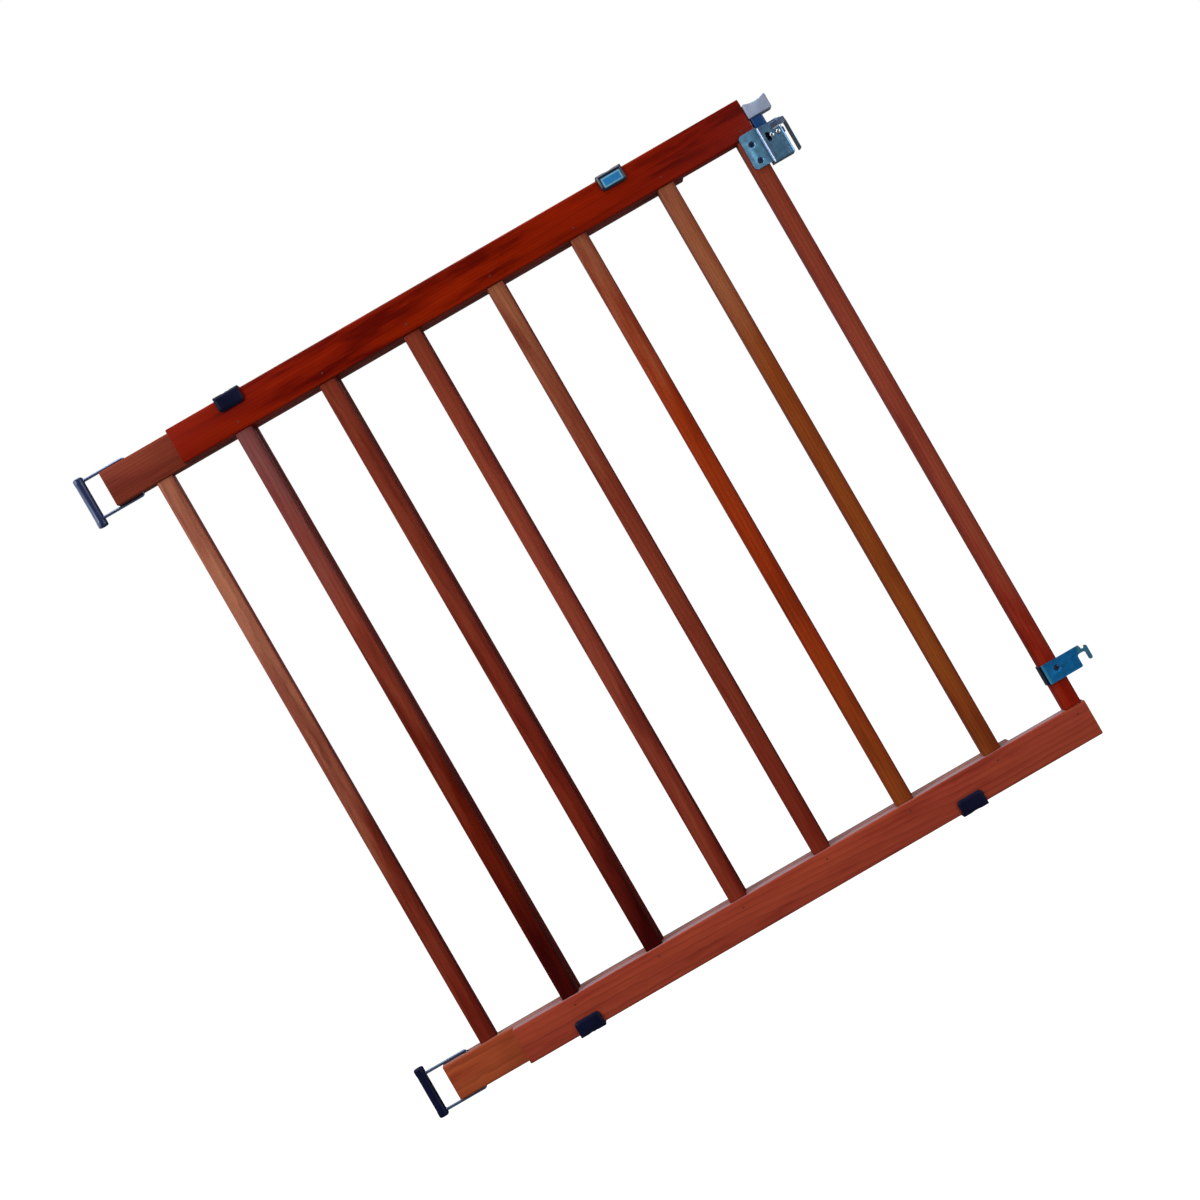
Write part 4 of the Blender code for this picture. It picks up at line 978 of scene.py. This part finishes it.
bolt = {"noseTall": 0.0055, "camRight": 0.0345, "overlap": 0.002, "past": 0.001, "ease": 0.0006,
        "slotWide": 0.0026, "lift": 0.005, "draw": 0.0035}
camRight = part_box("latch_housing")[0].x + bolt["camRight"]
shape = block(boltLow, (camRight, boltHigh.y, boltHigh.z))
latchBolt = makePiece(shape, "draw_bolt")
combine(latchBolt, [block((camRight - bolt["overlap"], boltLow.y, worksZ - bolt["noseTall"] / 2),
                          (boltHigh.x, boltHigh.y, worksZ + bolt["noseTall"] / 2))], "UNION")
pinX, pinZ = middleOf("cross_pin").xz
lean = math.degrees(math.atan2(bolt["lift"], bolt["draw"]))
slotPath = arc((pinX + bolt["draw"], pinZ + bolt["lift"]), bolt["slotWide"] / 2, lean - 90, lean + 90, 10)
slotPath += arc((pinX, pinZ), bolt["slotWide"] / 2, lean + 90, lean + 270, 10)
combine(latchBolt, [cutOut(slotPath, boltLow.y - bolt["past"], boltHigh.y - boltLow.y + 2 * bolt["past"])])
softenEdges(latchBolt, bolt["ease"] / 2, 3, 40)
fitOut(latchBolt, "bolt", finishes["dark"], ("latch_bolt",), 30)

plunger = {"radius": 0.0019, "tip": 0.0004, "foot": 0.0005, "collarTall": 0.0012, "collarEase": 0.0002}
radius, ease = plunger["radius"], plunger["collarEase"]
collar = (rodHigh.x - rodLow.x) / 2
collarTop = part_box("latch_spring")[0].z - 0.0002
collarFloor = collarTop - plunger["collarTall"]
rodProfile = [(0, rodHigh.z), (radius * 0.8, rodHigh.z), (radius, rodHigh.z - plunger["tip"]),
              (radius, collarTop), (collar - ease, collarTop), (collar, collarTop - ease),
              (collar, collarFloor + ease), (collar - ease, collarFloor), (radius, collarFloor),
              (radius, rodLow.z + plunger["foot"]), (radius * 0.7, rodLow.z), (0, rodLow.z)]
shape = move(lathe(rodProfile), Matrix.Translation((rodX, rodY, 0)))
fitOut(makePiece(shape, "knob_rod"), "knob_plunger", finishes["bright"], ("plunger_rod",))

spring = {"wire": 0.00035, "radius": 0.0028, "turns": 6, "steps": 28}
low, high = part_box("latch_spring")
springLow, springHigh = low.z + spring["wire"], high.z - spring["wire"]
coil = []
for at in range(spring["turns"] * spring["steps"] + 1):
    share = at / (spring["turns"] * spring["steps"])
    eased = share - 0.10 * math.sin(2 * math.pi * share) / 2        # closed coils at both ends
    angle = 2 * math.pi * spring["turns"] * share
    coil.append((rodX + spring["radius"] * math.cos(angle), rodY + spring["radius"] * math.sin(angle),
                 springLow + (springHigh - springLow) * eased))
springPiece = fitOut(makePiece(tube(coil, spring["wire"], "coil", 3), "return_spring"), "front_panel",
                     finishes["bright"], ("latch_spring",), 60)
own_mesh(springPiece)

for name, finishName in (("latch_back_plate", "zinc"), ("bolt_guide", "bush"), ("cross_pin", "bright")):
    nodes[name].data.materials.clear()
    nodes[name].data.materials.append(finishes[finishName])


# lift knob: a moulded cap with a finger dip on a square neck
knob = {"capFloor": 0.7015, "corner": 0.0028, "dip": 0.0022, "dipMargin": 0.0022, "dipLong": 0.06,
        "ease": 0.0014, "neckWide": 0.0126, "neckDeep": 0.012, "neckCorner": 0.0016, "neckEase": 0.0004,
        "neckInto": 0.0004}
low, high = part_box("lift_knob")
shape = block((low.x, low.y, knob["capFloor"]), high)
roundOver(shape, edgesAlong(shape, 2), knob["corner"], 5)
cap = makePiece(shape, "finger_knob")
halfDip = (high.x - low.x) / 2 - knob["dipMargin"]
dipRadius = (halfDip ** 2 + knob["dip"] ** 2) / (2 * knob["dip"])
middle = (low + high) / 2
fingerDip = rod((middle.x, middle.y, high.z - knob["dip"] + dipRadius), dipRadius, knob["dipLong"],
                towardFront, 128)
combine(cap, [fingerDip])
softenEdges(cap, knob["ease"] / 2, 3, 50)
fitOut(cap, "knob_plunger", finishes["knob"], ("lift_knob",), 50)
neckShape = block((rodX - knob["neckWide"] / 2, rodY - knob["neckDeep"] / 2, low.z),
                  (rodX + knob["neckWide"] / 2, rodY + knob["neckDeep"] / 2,
                   knob["capFloor"] + knob["neckInto"]))
roundOver(neckShape, edgesAlong(neckShape, 2), knob["neckCorner"], 5)
roundOver(neckShape, edgesAt(neckShape, 2, (low.z,)), knob["neckEase"], 2)
fitOut(makePiece(neckShape, "knob_neck"), "knob_plunger", finishes["neck"])
print("latch works made")


# lower hook: a pressed plate that wraps the stile's inner side and drops over a wall stud
hook = {"thick": 0.0020, "plateRight": 0.0390, "tineLeft": 0.0476, "tineFloor": 0.0026, "neckX": 0.0445,
        "dip": 0.0046, "notchTop": 0.0081, "notchBend": 0.0022, "wrapSheet": 0.0015, "wrapBack": 0.0002,
        "soften": 0.00028, "shoulder": 0.0012, "neckBend": 0.0018, "tipBend": 0.0021, "corner": 0.0018}
low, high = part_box("lower_hook_bracket")
top = high.z
plateRight, tineLeft, neckX = low.x + hook["plateRight"], low.x + hook["tineLeft"], low.x + hook["neckX"]
tineHalf = (high.x - tineLeft) / 2
shoulder, corner, tipBend = hook["shoulder"], hook["corner"], hook["tipBend"]
notchBend, notchZ = hook["notchBend"], top - hook["notchTop"] - hook["notchBend"]
outline = [(low.x, top), (neckX - shoulder, top)]
outline += arc((neckX - shoulder, top - shoulder), shoulder, 75, 10, 5)
outline += arc((neckX + 0.0026, top - hook["dip"] + 0.0013), hook["neckBend"], 195, 300, 8)
outline += arc((high.x - tipBend, top - hook["dip"] - 0.0003), tipBend, 115, 0, 9)
outline += arc((tineLeft + tineHalf, low.z + hook["tineFloor"] + tineHalf), tineHalf, 0, -180, 12)
outline += arc((tineLeft - notchBend, notchZ), notchBend, 0, 90, 8)
outline += arc((plateRight + notchBend, notchZ), notchBend, 90, 180, 8)
outline += arc((plateRight - corner, low.z + corner), corner, 0, -90, 5)
outline += [(low.x, low.z)]
plate = makePiece(cutOut(outline, low.y, hook["thick"]), "hook_plate")
wrap = block((low.x, low.y + hook["wrapBack"], low.z), (low.x + hook["wrapSheet"], high.y, high.z))
combine(plate, [wrap], "UNION")
combine(plate, [countersink("hook_screw")])
softenEdges(plate, hook["soften"], 2, 40)
fitOut(plate, "front_panel", finishes["blueZinc"], ("lower_hook_bracket",), 20)
print("hook made")


# floor, backdrop light and lamps
studio = {"floorZ": -0.5, "floorSize": 40.0, "backdrop": 1.0, "surround": 0.16, "dim": 0.03,
          "lampsAim": (0, 0, 0.36)}
shape = bmesh.new()
bmesh.ops.create_grid(shape, x_segments=1, y_segments=1, size=studio["floorSize"] / 2)
move(shape, Matrix.Translation((0, 0, studio["floorZ"])))
floor = makePiece(shape, "floor")
floorMaterial = bpy.data.materials.new("floorWhite")
floorMaterial.use_nodes = True
floorShader = floorMaterial.node_tree.nodes["Principled BSDF"]
floorShader.inputs["Base Color"].default_value = (0.3, 0.3, 0.3, 1)
floorShader.inputs["Roughness"].default_value = 0.9
floorShader.inputs["Specular IOR Level"].default_value = 0.0
floorShader.inputs["Emission Color"].default_value = (1, 1, 1, 1)
seen = addNode(floorMaterial.node_tree, "ShaderNodeLightPath").outputs["Is Camera Ray"]
floorMaterial.node_tree.links.new(seen, floorShader.inputs["Emission Strength"])
floor.data.materials.append(floorMaterial)

world = bpy.data.worlds.new("studio")
bpy.context.scene.world = world
world.use_nodes = True
sky = world.node_tree
background = sky.nodes["Background"]
rays = addNode(sky, "ShaderNodeLightPath")
heading = addNode(sky, "ShaderNodeSeparateXYZ")
sky.links.new(addNode(sky, "ShaderNodeTexCoord").outputs["Generated"], heading.inputs[0])
around = addNode(sky, "ShaderNodeMapRange", None, {"From Min": -0.9, "From Max": 0.9, "To Min": studio["dim"],
                                                   "To Max": studio["surround"]})
sky.links.new(heading.outputs["Y"], around.inputs["Value"])
brightness = addNode(sky, "ShaderNodeMapRange", None, {"To Max": studio["backdrop"]})
sky.links.new(rays.outputs["Is Camera Ray"], brightness.inputs["Value"])
sky.links.new(around.outputs[0], brightness.inputs["To Min"])
sky.links.new(brightness.outputs[0], background.inputs["Strength"])
background.inputs["Color"].default_value = (1, 1, 1, 1)
bpy.context.scene.view_settings.view_transform = "Standard"
bpy.context.scene.view_settings.look = "None"

lamps = {
    "keyLeft": {"place": (-2.5, -1.6, 1.9), "size": 1.4, "power": 84.0},
    "fillRight": {"place": (2.6, -1.8, 0.7), "size": 2.0, "power": 50.0},
    "overhead": {"place": (0.0, -0.3, 2.6), "size": 2.0, "power": 66.0},
    "behind": {"place": (0.4, 2.4, 1.9), "size": 1.8, "power": 10.0},
}
for name, lamp in lamps.items():
    data = bpy.data.lights.new(name, "AREA")
    data.shape = "DISK"
    data.size = lamp["size"]
    data.energy = lamp["power"]
    light = bpy.data.objects.new(name, data)
    bpy.context.scene.collection.objects.link(light)
    aim = Vector(studio["lampsAim"]) - Vector(lamp["place"])
    light.matrix_world = Matrix.Translation(lamp["place"]) @ aim.to_track_quat("-Z", "Y").to_matrix().to_4x4()
print("studio lit")
